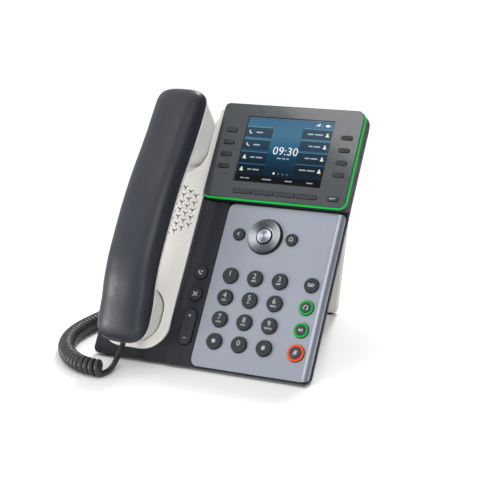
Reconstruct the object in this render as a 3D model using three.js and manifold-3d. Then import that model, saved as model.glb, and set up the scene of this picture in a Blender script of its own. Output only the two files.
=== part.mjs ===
// Desk IP phone with a corded handset on a left-hand cradle.
// Millimetres, +Z up, +Y to the rear, +X to the right of a person who uses it.
// The front of the phone is modelled in a tilted frame: x to the right, y up the
// slope of the keypad, z out of the keypad, with z = 0 on the keypad plate.
import * as THREE from 'three';
import { mergeVertices } from 'three/addons/utils/BufferGeometryUtils.js';
import Module from 'manifold-3d';

const wasm = await Module();
wasm.setup();

// ---------------------------------------------------------------- dimensions
const TILT = THREE.MathUtils.degToRad(57.9);   // keypad slope above the table
const FACE_Y = -53.595;                         // where the tilted frame's origin lies
const FACE_Z = 49.33;
const GAP = 0.3;                               // clearance between neighbours

const BODY_X0 = -88.9, BODY_X1 = 87;           // sides of the body
const BODY_BOTTOM = -56.3;
const CRADLE_TOP = 141;
const DISPLAY_TOP = 151;
const NOTCH_X = -34;                           // right side of the open ear recess
const FRONT_DEPTH = 14;                        // front housing, along z
const REAR_DEPTH = 34;                         // rear housing reaches this far back
const WALL = 2.2;
const BASE_CLEAR = 2.4;                        // housing's underside above the table

const PLATE = { x0: -6.6, x1: 86.5, y0: -54.2, y1: 73.7, t: 2, roll: 5.7 };
const CRADLE_X = -59;                          // centre line of the cradle and of the lead's socket
const HAND_X = -56.8;                          // centre line of the handset
const PITCH_X = 20.05, PITCH_Y = 16.95;        // dial keys
const PAD_X = 29;                              // column of the key 5
const KEY_R = 5.95, KEY_TOP = 2.2;
const KEY_FLANGE = 0.9;                        // flange beyond the cap
const NAV = { x: 28.8, y: 49.9, r: 12.75, rb: 13.6, hole: 6.35, select: 5.9, top: 3.0 };
const SIDE_X = 74.1, LEFT_X = -15.4;
const ROCKER = { x: -15.2, y: -26, w: 10, l: 27.5 };

const DISP = { x0: -28.5, x1: 88.9, y0: 74.6, y1: 153.5, back: -6, rim: 3.2, face: 6 };
const BAR = 1.5;                               // width of the light bar
const LCD = { x: 29.65, y: 116.65, w: 70.3, h: 52.7 };
const LINE_KEY = { w: 9.2, h: 3.4, xl: -17.3, xr: 77.2, ys: [131, 120.9, 111, 101.2] };
const SOFT_KEY = { w: 16.2, h: 3.6, y: 82.2, xs: [3.75, 21.4, 38.9, 56.4] };
const LINES_KEY = { x: 77.1, y: 82.3 };

const HINGE = { y: 92, z: -38.5, pin: 2.75, bore: 3.1 };   // stand hinge, tilted frame
const STAND = { foot_y: 98.405, top_half: 73.4, foot_half: 36, t: 7.5, skin: 2.6 };

const CORD_D = 4.2, COIL_D = 13.0;

// ------------------------------------------------------------------- helpers
const tiltMatrix = new THREE.Matrix4().makeRotationX(TILT).setPosition(0, FACE_Y, FACE_Z);
const untilt = tiltMatrix.clone().invert();

function solid(geometry) {
  const g = geometry.clone();
  g.deleteAttribute('normal');
  g.deleteAttribute('uv');
  const m = mergeVertices(g, 1e-4);
  return new wasm.Manifold(new wasm.Mesh({
    numProp: 3,
    vertProperties: new Float32Array(m.attributes.position.array),
    triVerts: new Uint32Array(m.index.array),
  }));
}

function geometryOf(manifold) {
  const mesh = manifold.getMesh();
  const n = mesh.numProp;
  const pos = new Float32Array((mesh.vertProperties.length / n) * 3);
  for (let i = 0; i < pos.length / 3; i++) {
    pos[3 * i] = mesh.vertProperties[n * i];
    pos[3 * i + 1] = mesh.vertProperties[n * i + 1];
    pos[3 * i + 2] = mesh.vertProperties[n * i + 2];
  }
  const g = new THREE.BufferGeometry();
  g.setAttribute('position', new THREE.BufferAttribute(pos, 3));
  g.setIndex(new THREE.BufferAttribute(new Uint32Array(mesh.triVerts), 1));
  return g;
}

// Outline with one radius per corner: corners are [x, y, r], anticlockwise.
function rounded(corners, seg = 4) {
  const out = [];
  const n = corners.length;
  for (let i = 0; i < n; i++) {
    const [x, y, r] = corners[i];
    const p = new THREE.Vector2(x, y);
    const a = new THREE.Vector2(...corners[(i + n - 1) % n].slice(0, 2)).sub(p).normalize();
    const b = new THREE.Vector2(...corners[(i + 1) % n].slice(0, 2)).sub(p).normalize();
    if (!r) { out.push([x, y]); continue; }
    const half = Math.acos(THREE.MathUtils.clamp(a.dot(b), -1, 1)) / 2;
    const d = r / Math.tan(half);
    const c = p.clone().add(a.clone().add(b).normalize().multiplyScalar(r / Math.sin(half)));
    const s = p.clone().add(a.clone().multiplyScalar(d)).sub(c);
    const e = p.clone().add(b.clone().multiplyScalar(d)).sub(c);
    const a0 = Math.atan2(s.y, s.x);
    let da = Math.atan2(e.y, e.x) - a0;
    while (da > Math.PI) da -= 2 * Math.PI;
    while (da < -Math.PI) da += 2 * Math.PI;
    for (let k = 0; k <= seg; k++) {
      const t = a0 + (da * k) / seg;
      out.push([c.x + r * Math.cos(t), c.y + r * Math.sin(t)]);
    }
  }
  return out;
}
const rect = (x0, y0, x1, y1, r = 0, seg = 4) =>
  rounded([[x0, y0, r], [x1, y0, r], [x1, y1, r], [x0, y1, r]], seg);
const circle = (cx, cy, r, n = 16) =>
  Array.from({ length: n }, (_, i) => [cx + r * Math.cos((2 * Math.PI * i) / n), cy + r * Math.sin((2 * Math.PI * i) / n)]);

function prism(points, z0, z1) {
  const shape = new THREE.Shape(points.map(([x, y]) => new THREE.Vector2(x, y)));
  const g = new THREE.ExtrudeGeometry(shape, { depth: z1 - z0, bevelEnabled: false, curveSegments: 1 });
  g.translate(0, 0, z0);
  return g;
}
const slab = (points, z0, z1) => solid(prism(points, z0, z1));
const block = (x0, y0, z0, x1, y1, z1) => {
  const g = new THREE.BoxGeometry(x1 - x0, y1 - y0, z1 - z0);
  g.translate((x0 + x1) / 2, (y0 + y1) / 2, (z0 + z1) / 2);
  return g;
};
const cut = (x0, y0, z0, x1, y1, z1) => solid(block(x0, y0, z0, x1, y1, z1));
// A box that is square to the table, seen from the tilted frame.
const levelCut = (x0, y0, z0, x1, y1, z1) => {
  const g = block(x0, y0, z0, x1, y1, z1);
  g.applyMatrix4(untilt);
  return solid(g);
};

// Closed skin over a stack of rings with equal point counts. Rings run
// anticlockwise seen from the side that the stack grows towards.
function loft(rings) {
  const n = rings[0].length;
  const pos = [];
  for (const ring of rings) for (const p of ring) pos.push(p[0], p[1], p[2]);
  const idx = [];
  for (let k = 0; k + 1 < rings.length; k++) {
    for (let i = 0; i < n; i++) {
      const a = k * n + i, b = k * n + ((i + 1) % n), c = a + n, d = b + n;
      idx.push(a, b, d, a, d, c);
    }
  }
  const cap = (ring, base, flip) => {
    const c = ring.reduce((s, p) => [s[0] + p[0] / n, s[1] + p[1] / n, s[2] + p[2] / n], [0, 0, 0]);
    const id = pos.length / 3;
    pos.push(...c);
    for (let i = 0; i < n; i++) {
      const a = base + i, b = base + ((i + 1) % n);
      if (flip) idx.push(id, b, a); else idx.push(id, a, b);
    }
  };
  cap(rings[0], 0, true);
  cap(rings[rings.length - 1], (rings.length - 1) * n, false);
  const g = new THREE.BufferGeometry();
  g.setAttribute('position', new THREE.BufferAttribute(new Float32Array(pos), 3));
  g.setIndex(idx);
  return g;
}
const at = (points, z) => points.map(([x, y]) => [x, y, z]);
// Stack of flat outlines: each level is [points, z].
const stack = (levels) => loft(levels.map(([p, z]) => at(p, z)));

const group = new THREE.Group();
const face = new THREE.Group();                 // the tilted frame
face.rotation.x = TILT;
face.position.set(0, FACE_Y, FACE_Z);
group.add(face);

const finish = {
  charcoal: [0x33363b, 0.6, 0], black: [0x141517, 0.5, 0], silver: [0xa9afba, 0.35, 0.7],
  offwhite: [0xdcdad5, 0.55, 0], slate: [0x3b3f47, 0.42, 0], bezel: [0x36393c, 0.25, 0],
  green: [0x00d040, 0.4, 0], orange: [0xff4500, 0.4, 0], key: [0x34363b, 0.6, 0],
  steel: [0xb9bcc2, 0.3, 0.8], rubber: [0x1b1b1c, 0.85, 0], board: [0x1f5a34, 0.6, 0],
  screen: [0x163a52, 0.15, 0], cord: [0x232428, 0.5, 0], clear: [0xb8bcc0, 0.2, 0],
};
function add(parent, name, geometry, look) {
  const g = geometry.isBufferGeometry ? geometry : geometryOf(geometry);
  const [color, roughness, metalness] = finish[look];
  const mesh = new THREE.Mesh(g, new THREE.MeshStandardMaterial({ color, roughness, metalness }));
  mesh.name = name;
  parent.add(mesh);
  return mesh;
}

// -------------------------------------------------------------------- housing
// Outline of the body, inset by i; the left-hand cradle column stops lower.
const bodyOutline = (i, bottom = BODY_BOTTOM, ir = i) => rounded([
  [BODY_X0 + i, bottom, 4], [BODY_X1 - ir, bottom, 4],
  [BODY_X1 - ir, DISPLAY_TOP - i, 7], [NOTCH_X + i * 0.4 + 0.4, DISPLAY_TOP - i, 1.5],
  [NOTCH_X + i * 0.4 + 0.4, CRADLE_TOP - i, 1], [BODY_X0 + i, CRADLE_TOP - i, 8],
], 3);
const belowTable = (h) => levelCut(-200, -300, -200, 200, 300, h);

// Below this depth the right side leans inwards.
const LEAN_Z = -9.2, LEAN = 0.5;
const sideWedge = (o) => {
  const x = BODY_X1 - o, z = -FRONT_DEPTH - 2;
  const low = x - LEAN * (LEAN_Z - z);
  return solid(loft([[[x, 190, LEAN_Z], [low, 190, z], [130, 190, z], [130, 190, LEAN_Z]], [[x, -90, LEAN_Z], [low, -90, z], [130, -90, z], [130, -90, LEAN_Z]]]));
};
let front = slab(bodyOutline(0, -60), -FRONT_DEPTH, 0).subtract(sideWedge(0));
front = front.subtract(cut(BODY_X0 + WALL, -80, -FRONT_DEPTH - 1, BODY_X1 - WALL, 72, -WALL)
  .subtract(belowTable(BASE_CLEAR + 2)).subtract(sideWedge(WALL)));
front = front.subtract(cut(BODY_X0 + WALL, 71.9, -FRONT_DEPTH - 1, -31.5, CRADLE_TOP - WALL, -WALL));
front = front.subtract(cut(-31.6, 71.9, -FRONT_DEPTH - 1, BODY_X1 - WALL, DISPLAY_TOP - WALL, -8.5).subtract(sideWedge(WALL)));
front = front.subtract(cut(-29, 74.1, -6.3, 100, 160, 5));                      // display seat
const lip = belowTable(BASE_CLEAR + 0.7);
front = front.subtract(cut(PLATE.x0 - GAP, -60, -2.6, 100, PLATE.y1 + GAP, 5).subtract(lip));
front = front.subtract(cut(79.5, -60, -PLATE.roll - 0.5, 100, PLATE.y1 + GAP, 5).subtract(lip)); // rolled edge
// Cradle opening, with its rounded lower end, and the open top of the ear recess.
front = front.subtract(slab(rounded([[-87.8, -47.8, 20], [-30.2, -47.8, 20], [-30.2, 160, 0], [-87.8, 160, 0]], 5), -3, 5));
front = front.subtract(cut(-84.8, 100, -11.6, -33.2, 160, 5));
front = front.subtract(slab(circle(LEFT_X, 16.6, 5.3), -5, 2));
front = front.subtract(slab(circle(LEFT_X, -0.5, 5.3), -5, 2));
front = front.subtract(slab(rect(ROCKER.x - 5.35, ROCKER.y - 14.1, ROCKER.x + 5.35, ROCKER.y + 14.1, 5.3, 4), -5, 2));
front = front.subtract(belowTable(BASE_CLEAR));
// The lower lip follows the rolled edge of the plate.
const rollEdge = new THREE.CylinderGeometry(PLATE.roll, PLATE.roll, 400, 24);
rollEdge.translate(BODY_X1 - PLATE.roll, 0, -PLATE.roll);
front = front.subtract(cut(BODY_X1 - PLATE.roll, -80, -PLATE.roll, 100, PLATE.y1 + GAP, 5).subtract(solid(rollEdge)));
add(face, 'front_housing', front, 'charcoal');

const rearRing = (i, z, ir = i) => at(bodyOutline(i, -90, ir), z);
let rear = solid(loft([rearRing(13, -REAR_DEPTH), rearRing(10, -REAR_DEPTH + 2.5), rearRing(0.4, -FRONT_DEPTH - GAP, 0.4 + LEAN * (FRONT_DEPTH + GAP + LEAN_Z))]));
rear = rear.subtract(solid(loft([rearRing(15.4, -REAR_DEPTH + WALL), rearRing(12.4, -REAR_DEPTH + 4.5), rearRing(2.6, -FRONT_DEPTH + 1, 2.6 + LEAN * (FRONT_DEPTH + LEAN_Z))]))
  .subtract(belowTable(BASE_CLEAR + 2)));
// Hinge lugs for the stand.
for (const s of [-1, 1]) {
  const xa = s < 0 ? -65 : 59, xb = s < 0 ? -59 : 65;
  const lug = new THREE.CylinderGeometry(5.4, 5.4, xb - xa, 12);
  lug.rotateZ(Math.PI / 2);
  lug.translate((xa + xb) / 2, HINGE.y, HINGE.z);
  rear = rear.add(solid(lug)).add(cut(xa, HINGE.y - 5.2, HINGE.z, xb, HINGE.y + 5.2, -REAR_DEPTH + 1));
  const bore = new THREE.CylinderGeometry(HINGE.bore, HINGE.bore, 20, 12);
  bore.rotateZ(Math.PI / 2);
  bore.translate((xa + xb) / 2, HINGE.y, HINGE.z);
  rear = rear.subtract(solid(bore));
}
// Socket for the handset lead, low on the left, square to the rear face.
const JACK = { x: -66, y: -9 };
rear = rear.add(cut(JACK.x - 6.2, JACK.y - 5.6, -REAR_DEPTH + 1, JACK.x + 6.2, JACK.y + 5.6, -22));
rear = rear.subtract(cut(JACK.x - 4.1, JACK.y - 3.6, -REAR_DEPTH - 1, JACK.x + 4.1, JACK.y + 3.6, -24));
// Window for the network sockets, level with the table.
const NET = { x0: 14, x1: 50, y0: -49.6, y1: -33.4, z0: 19.5, z1: 34 };
const REAR_FACE_Y = FACE_Y + REAR_DEPTH * Math.sin(TILT);
NET.y1 = REAR_FACE_Y - 6.7; NET.y0 = NET.y1 - 15;
rear = rear.subtract(levelCut(NET.x0 - 0.4, NET.y0 - 0.4, NET.z0 - 0.4, NET.x1 + 0.4, 60, NET.z1 + 0.4));
rear = rear.subtract(belowTable(BASE_CLEAR));
add(face, 'rear_housing', rear, 'charcoal');

// ---------------------------------------------------------------- front parts
// Keypad plate: flat, with its right-hand edge rolled down over the side.
const plateProfile = (inset) => {
  const p = [];
  const r = PLATE.roll - inset, cx = PLATE.x1 - PLATE.roll, cz = -PLATE.roll;
  p.push([PLATE.x0, -inset]);
  for (let k = 0; k <= 5; k++) {
    const a = Math.PI / 2 - (k * Math.PI) / 10;
    p.push([cx + r * Math.cos(a), cz + r * Math.sin(a)]);
  }
  return p;
};
const plateSection = [...plateProfile(0), ...plateProfile(PLATE.t).reverse()];
const plateShape = new THREE.Shape(plateSection.map(([x, z]) => new THREE.Vector2(x, z)));
const plateGeo = new THREE.ExtrudeGeometry(plateShape, { depth: PLATE.y1 - PLATE.y0, bevelEnabled: false });
plateGeo.rotateX(Math.PI / 2);                  // section in x, z; length along y
plateGeo.translate(0, PLATE.y1, 0);
let plate = solid(plateGeo);
const plateCorner = slab(rounded([[PLATE.x0, PLATE.y0, 6.5], [120, PLATE.y0, 0], [120, PLATE.y1, 0], [PLATE.x0, PLATE.y1, 5.5]], 4), -20, 5);
plate = plate.intersect(plateCorner).subtract(belowTable(BASE_CLEAR + 1.0));
const holes = [];
const dial = {};
[['key_1', -1, 1], ['key_2', 0, 1], ['key_3', 1, 1], ['key_4', -1, 0], ['key_5', 0, 0], ['key_6', 1, 0],
  ['key_7', -1, -1], ['key_8', 0, -1], ['key_9', 1, -1], ['key_star', -1, -2], ['key_0', 0, -2], ['key_hash', 1, -2]]
  .forEach(([name, c, r]) => { dial[name] = [PAD_X + c * PITCH_X, r * PITCH_Y, KEY_R]; });
const small = {
  back_key: [7.5, 49.6, 4.5], home_key: [50.4, 49.6, 4.5],
  voicemail_key: [SIDE_X, 17, 5.4], headset_key: [SIDE_X, 0, 5.5],
  speaker_key: [SIDE_X, -17, 5.5], mute_key: [SIDE_X, -34, 6.3],
};
for (const [x, y, r] of [...Object.values(dial), ...Object.values(small)]) {
  plate = plate.subtract(slab(circle(x, y, r + GAP), -5, 2));
}
plate = plate.subtract(slab(circle(NAV.x, NAV.y, NAV.rb + 0.4, 20), -5, 2));
add(face, 'keypad_plate', plate, 'silver');

// Cradle insert: a U of smooth plastic with a pocket for each end of the handset.
let insert = slab(rounded([[-87.5, -47.5, 19.7], [-30.5, -47.5, 19.7], [-30.5, 150, 1.5], [-34.2, 150, 1.2],
  [-34.2, CRADLE_TOP - 0.4, 0], [-83.8, CRADLE_TOP - 0.4, 0], [-87.5, CRADLE_TOP - 0.4, 2]], 5), -2.2, 0.8);
insert = insert.add(slab(rounded([[-84.5, 92, 14], [-33.5, 92, 14], [-33.5, CRADLE_TOP - 0.4, 0], [-84.5, CRADLE_TOP - 0.4, 0]], 5), -11, 0));
insert = insert.add(slab(rect(-82.2, -45, -35.8, 3.5, 20, 5), -11, 0));
insert = insert.subtract(slab(rounded([[-81.9, 94.6, 19], [-33.9 - 1.9, 94.6, 19], [-33.9 - 1.9, 180, 0], [-81.9, 180, 0]], 6), -8, 3));
insert = insert.subtract(slab(rect(-79.9, -43, -38.1, 0.6, 18.5, 6), -8, 3));
for (let i = 0; i < 4; i++) for (let j = 0; j < 5; j++) {   // speaker slots
  const cx = -74 + i * 10, cy = 26 + j * 10 + (i % 2) * 5;
  insert = insert.subtract(cut(cx - 2.4, cy - 0.7, -5, cx + 2.4, cy + 0.7, 3));
}
insert = insert.subtract(slab(rect(-63.4, 115.2, -54.6, 120.8, 0), -20, 3));
add(face, 'cradle_insert', insert, 'offwhite');

// Display module.
const dispOutline = (i, extra = {}) => rounded([
  [DISP.x0 + i, DISP.y0 + i, 5 - Math.min(i, 3)], [DISP.x1 - i, DISP.y0 + i, 7 - Math.min(i, 3)],
  [DISP.x1 - i, DISP.y1 - i, 8 - Math.min(i, 3)], [DISP.x0 + i, DISP.y1 - i, 4 - Math.min(i, 2)],
], 4);
let dHouse = slab(dispOutline(0.3), DISP.back, DISP.rim);
dHouse = dHouse.subtract(slab(dispOutline(2.5), DISP.back + 2, DISP.rim + 1));
add(face, 'display_housing', dHouse, 'black');

const bezelOutline = (g) => rounded([
  [DISP.x0 + 0.2 - g, DISP.y0 + BAR + 0.3 - g, 3.5], [DISP.x1 - BAR - 0.3 + g, DISP.y0 + BAR + 0.3 - g, 5.5 + g],
  [DISP.x1 - BAR - 0.3 + g, DISP.y1 - 0.1 + g, 6.8 + g], [DISP.x0 + 0.2 - g, DISP.y1 - 0.1 + g, 4],
], 4);
let bezel = slab(bezelOutline(0), DISP.rim + GAP, DISP.face);
bezel = bezel.subtract(cut(LCD.x - LCD.w / 2 - 0.6, LCD.y - LCD.h / 2 - 0.6, 0, LCD.x + LCD.w / 2 + 0.6, LCD.y + LCD.h / 2 + 0.6, 10));
const slotKeys = {};
LINE_KEY.ys.forEach((y, i) => { slotKeys[`line_key_l${i + 1}`] = [LINE_KEY.xl, y, LINE_KEY.w, LINE_KEY.h]; });
LINE_KEY.ys.forEach((y, i) => { slotKeys[`line_key_r${i + 1}`] = [LINE_KEY.xr, y, LINE_KEY.w, LINE_KEY.h]; });
SOFT_KEY.xs.forEach((x, i) => { slotKeys[`softkey_${i + 1}`] = [x, SOFT_KEY.y, SOFT_KEY.w, SOFT_KEY.h]; });
slotKeys.lines_key = [LINES_KEY.x, LINES_KEY.y, LINE_KEY.w, LINE_KEY.h + 0.2];
for (const [x, y, w, h] of Object.values(slotKeys)) {
  bezel = bezel.subtract(slab(rect(x - w / 2 - GAP, y - h / 2 - GAP, x + w / 2 + GAP, y + h / 2 + GAP, 1.5, 1), 0, 10));
}
add(face, 'display_bezel', bezel, 'bezel');

let bar = slab(dispOutline(0), DISP.rim + GAP, DISP.face - 0.4);
bar = bar.subtract(slab(rounded([
  [DISP.x0 - 30, DISP.y0 + BAR, 0], [DISP.x1 - BAR, DISP.y0 + BAR, 5.8],
  [DISP.x1 - BAR, DISP.y1 + 0.2, 7.1], [DISP.x0 - 30, DISP.y1 + 0.2, 0]], 4), 0, 10));
bar = bar.subtract(cut(-60, 100, 0, 84.5, 200, 10));
add(face, 'light_bar', bar, 'green');

const lcdRing = (w, h) => rect(LCD.x - w / 2, LCD.y - h / 2, LCD.x + w / 2, LCD.y + h / 2);
add(face, 'lcd_module', stack([[lcdRing(77, 59), -1.5], [lcdRing(77, 59), 2.0], [lcdRing(LCD.w + 0.4, LCD.h + 0.4), 2.05], [lcdRing(LCD.w + 0.4, LCD.h + 0.4), 5.3]]), 'screen');

// Inside: board, loudspeaker, hook plunger.
let board = slab(rect(-72, -36, 78, 66, 3, 1), -18, -16.4);
board = board.subtract(levelCut(NET.x0 - 1, NET.y0 - 1, NET.z0 - 1, NET.x1 + 1, 60, NET.z1 + 1));
add(face, 'main_board', board, 'board');

const speakerProfile = [[0, -14.5], [9, -14.5], [9, -10], [14, -8.5], [20.5, -4], [22, -4], [22, -2.6], [18, -2.6], [9, -6.5], [0, -6.5]]
  .map(([r, z]) => new THREE.Vector2(r, z));
const speakerGeo = new THREE.LatheGeometry(speakerProfile, 20);
speakerGeo.rotateX(Math.PI / 2);                // the lathe's axis becomes z
speakerGeo.translate(CRADLE_X, 46, 0);
add(face, 'loudspeaker', solid(speakerGeo), 'black');

const hookRing = (w, h) => rect(CRADLE_X - w / 2, 118 - h / 2, CRADLE_X + w / 2, 118 + h / 2);
add(face, 'hook_plunger', stack([[hookRing(12, 8), -17.5], [hookRing(12, 8), -15.4], [hookRing(8, 5), -15.35], [hookRing(8, 5), -8.05]]), 'offwhite');

// ----------------------------------------------------------------------- keys
function roundKey(name, x, y, r, look, top = KEY_TOP, under = -2.3, n = 16) {
  const f = r + KEY_FLANGE;
  add(face, name, stack([[circle(x, y, f, n), under - 1.3], [circle(x, y, f, n), under], [circle(x, y, r, n), under + 0.05],
    [circle(x, y, r, n), top]]), look);
}
for (const [name, [x, y, r]] of Object.entries(dial)) roundKey(name, x, y, r, 'key');
for (const [name, [x, y, r]] of Object.entries(small)) {
  roundKey(name, x, y, r, name === 'mute_key' ? 'orange' : name === 'headset_key' || name === 'speaker_key' ? 'green' : 'key', 2.0);
}
roundKey('transfer_key', LEFT_X, 16.6, 5, 'key', 1.8, -2.5);
roundKey('hold_key', LEFT_X, -0.5, 5, 'key', 1.8, -2.5);
const rockRing = (g) => rect(ROCKER.x - 5 - g, ROCKER.y - 13.75 - g, ROCKER.x + 5 + g, ROCKER.y + 13.75 + g, 4.95 + g, 3);
add(face, 'volume_rocker', stack([[rockRing(0.9), -4.5], [rockRing(0.9), -3.3], [rockRing(0), -3.25], [rockRing(0), 1.8]]), 'key');

const navRings = [[NAV.rb + 1.2, -4.6], [NAV.rb + 1.2, -3.0], [NAV.rb, -2.95], [NAV.rb, 0.2], [NAV.r, NAV.top]];
let nav = solid(stack(navRings.map(([r, z]) => [circle(NAV.x, NAV.y, r, 20), z])));
nav = nav.subtract(slab(circle(NAV.x, NAV.y, NAV.hole, 20), -10, 10));
nav = nav.subtract(slab(circle(NAV.x, NAV.y, 8.6, 20), -10, -2.2));
add(face, 'nav_ring', nav, 'steel');
add(face, 'select_button', stack([[circle(NAV.x, NAV.y, 7.6, 20), -4.6], [circle(NAV.x, NAV.y, 7.6, 20), -3.2],
  [circle(NAV.x, NAV.y, NAV.select, 20), -3.15], [circle(NAV.x, NAV.y, NAV.select, 20), 3.3]]), 'steel');

for (const [name, [x, y, w, h]] of Object.entries(slotKeys)) {
  const ring = (g) => rect(x - w / 2 - g, y - h / 2 - g, x + w / 2 + g, y + h / 2 + g, 1.3, 1);
  add(face, name, stack([[ring(0.6), 1.9], [ring(0.6), 3.1], [ring(0), 3.15], [ring(0), DISP.face + 0.9]]), 'bezel');
}

// -------------------------------------------------------------------- handset
// Stations along the handset: y, half width, height of the seam, height of the
// crown above the seam and depth of the grip below it.
const stations = [
  [-49.4, 8.4, 20.2, 5.0], [-47.8, 13.4, 20.0, 8.0], [-44.0, 17.6, 19.8, 10.6], [-36.0, 19.9, 19.8, 12.4],
  [-22.0, 20.5, 21.2, 13.8], [-4.0, 20.6, 26.0, 14.3], [15.0, 20.6, 28.6, 14.5], [45.0, 20.6, 29.2, 14.5],
  [75.0, 20.6, 27.6, 14.5], [100.0, 20.6, 24.2, 14.5], [122.0, 20.6, 21.8, 14.0], [138.0, 20.4, 21.2, 12.8],
  [146.0, 19.7, 21.2, 11.0], [150.6, 17.2, 21.3, 8.8], [153.0, 13.2, 21.4, 6.8], [154.0, 8.8, 21.4, 5.0],
];
const across = [1, 0.985, 0.9, 0.72, 0.4, 0, -0.4, -0.72, -0.9, -0.985, -1];
const rise = [0, 0.36, 0.66, 0.87, 0.98, 1, 0.98, 0.87, 0.66, 0.36, 0];
// A ring of the back shell at one station, square to y.
const backRing = ([y, w, s, h], o, gap) => {
  const ring = across.map((a, i) => [HAND_X + a * (w - o), y, s + gap + rise[i] * (h - o) ]);
  return ring;
};
// Rings go anticlockwise seen from +y, so the stack grows towards +y.
const orient = (ring) => {
  let area = 0;
  ring.forEach((p, i) => { const q = ring[(i + 1) % ring.length]; area += p[2] * q[0] - q[2] * p[0]; });
  return area > 0 ? ring : ring.slice().reverse();
};
const backOuter = solid(loft(stations.map((s) => orient(backRing(s, 0, GAP / 2)))));
const innerStations = stations.slice(1, -1);
const backInner = solid(loft(innerStations.map((s, k) => {
  const ring = backRing(s, 2.2, -1);
  return orient(ring.map(([x, y, z]) => [x, k === 0 ? y + 1 : k === innerStations.length - 1 ? y - 1 : y, z]));
})));
add(face, 'handset_back', backOuter.subtract(backInner), 'slate');

// Front half: grip, ear cup and mouth cup.
const gripRing = ([y, w, s], o, depth, gap) => {
  const d = depth - o;
  const pts = [[1, 0], [0.97, 0.42], [0.8, 0.82], [0.45, 1], [-0.45, 1], [-0.8, 0.82], [-0.97, 0.42], [-1, 0]];
  return orient(pts.map(([a, b]) => [HAND_X + a * (w - o), y, s - gap - b * d]));
};
const gripOuter = solid(loft(stations.map((s) => gripRing(s, 0, 9.5, GAP / 2))));
const seamLid = solid(loft(stations.map(([y, w, s]) => orient([[-140, y, s - GAP / 2], [20, y, s - GAP / 2], [20, y, 80], [-140, y, 80]]))));
// Rounder at the lower corners (r) than at the upper ones (ru).
const cup = (x, y0, y1, half, r, ru, z) => at(rounded([[x - half, y0, r], [x + half, y0, r], [x + half, y1, ru], [x - half, y1, ru]], 4), z);
const earOuter = solid(loft([cup(HAND_X, 104, 138.4, 18.3, 15, 6, -7.6), cup(HAND_X, 101.5, 140.3, 20.2, 16.5, 7, -6.2),
  cup(HAND_X, 97, 151.4, 20.5, 17, 9, 20), cup(HAND_X, 97, 151.4, 20.5, 17, 9, 26)]));
const mouthOuter = solid(loft([cup(HAND_X, -37.8, -5, 13.3, 13, 13, -7.6), cup(HAND_X, -40, -2.4, 15.9, 15.2, 15.2, -6.2),
  cup(HAND_X, -48.4, 2, 20.1, 16, 16, 19), cup(HAND_X, -48.4, 2, 20.1, 16, 16, 28)]));
const earInner = solid(loft([cup(HAND_X, 106, 136.2, 16.3, 13.5, 5, -5.4), cup(HAND_X, 103.7, 138, 18, 14.5, 5.5, -4.2),
  cup(HAND_X, 99.2, 149.2, 18.3, 15, 7, 20), cup(HAND_X, 99.2, 149.2, 18.3, 15, 7, 40)]));
const mouthInner = solid(loft([cup(HAND_X, -36, -7, 11.6, 11, 11, -5.4), cup(HAND_X, -38.2, -4.6, 14, 13, 13, -4.2),
  cup(HAND_X, -44.4, -0.2, 17.9, 14, 14, 19), cup(HAND_X, -44.4, -0.2, 17.9, 14, 14, 40)]));
const gripInner = solid(loft(stations.slice(2, -2).map((s) => gripRing(s, 2.2, 9.5, -1))));
let handFront = gripOuter.add(earOuter).add(mouthOuter).subtract(gripInner).subtract(earInner).subtract(mouthInner).subtract(seamLid);
for (let i = 0; i < 6; i++) {                   // sound holes of the receiver
  const a = (i * Math.PI) / 3;
  handFront = handFront.subtract(slab(circle(HAND_X + 5 * Math.cos(a), 121 + 5 * Math.sin(a), 1.2, 6), -12, -3));
}
handFront = handFront.subtract(slab(circle(HAND_X, -21, 1, 6), -12, -3));
// Socket for the handset lead in the lower end.
handFront = handFront.subtract(cut(CRADLE_X - 4.2, -60, 7.6, CRADLE_X + 4.2, -37, 14.4));
add(face, 'handset_front', handFront, 'offwhite');

const capsule = (y, z0, z1, r) => stack([[circle(HAND_X, y, r, 16), z0], [circle(HAND_X, y, r, 16), (z0 + z1) / 2],
  [circle(HAND_X, y, r * 0.8, 16), z1]]);
add(face, 'receiver_capsule', capsule(121, -5.0, 2.5, 13), 'black');
add(face, 'microphone_capsule', capsule(-21, -5.0, -0.5, 5), 'black');

// ---------------------------------------------------------------------- stand
// The stand has its own frame: origin on the hinge axis, y down the stand,
// z out of its rear side.
const hingePoint = new THREE.Vector3(0, HINGE.y, HINGE.z).applyMatrix4(tiltMatrix);
const footPoint = new THREE.Vector3(0, STAND.foot_y, 2.0);
const run = footPoint.y - hingePoint.y, drop = hingePoint.z - footPoint.z;
const legLength = Math.hypot(run, drop);
const legAngle = Math.atan2(-drop, run);        // direction of the stand in Y, Z
const stand = new THREE.Group();
stand.position.copy(hingePoint);
stand.rotation.x = legAngle;
group.add(stand);
const half = (s) => STAND.top_half + ((STAND.foot_half - STAND.top_half) * s) / legLength;
const long = legLength + 8;
let leg = slab(rounded([[-half(10), 10, 3], [-56, 10, 0], [-56, 0, 0], [56, 0, 0], [56, 10, 0], [half(10), 10, 3],
  [half(long), long, 3], [-half(long), long, 3]], 2).reverse().reverse(), -STAND.t / 2, STAND.t / 2);
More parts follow.
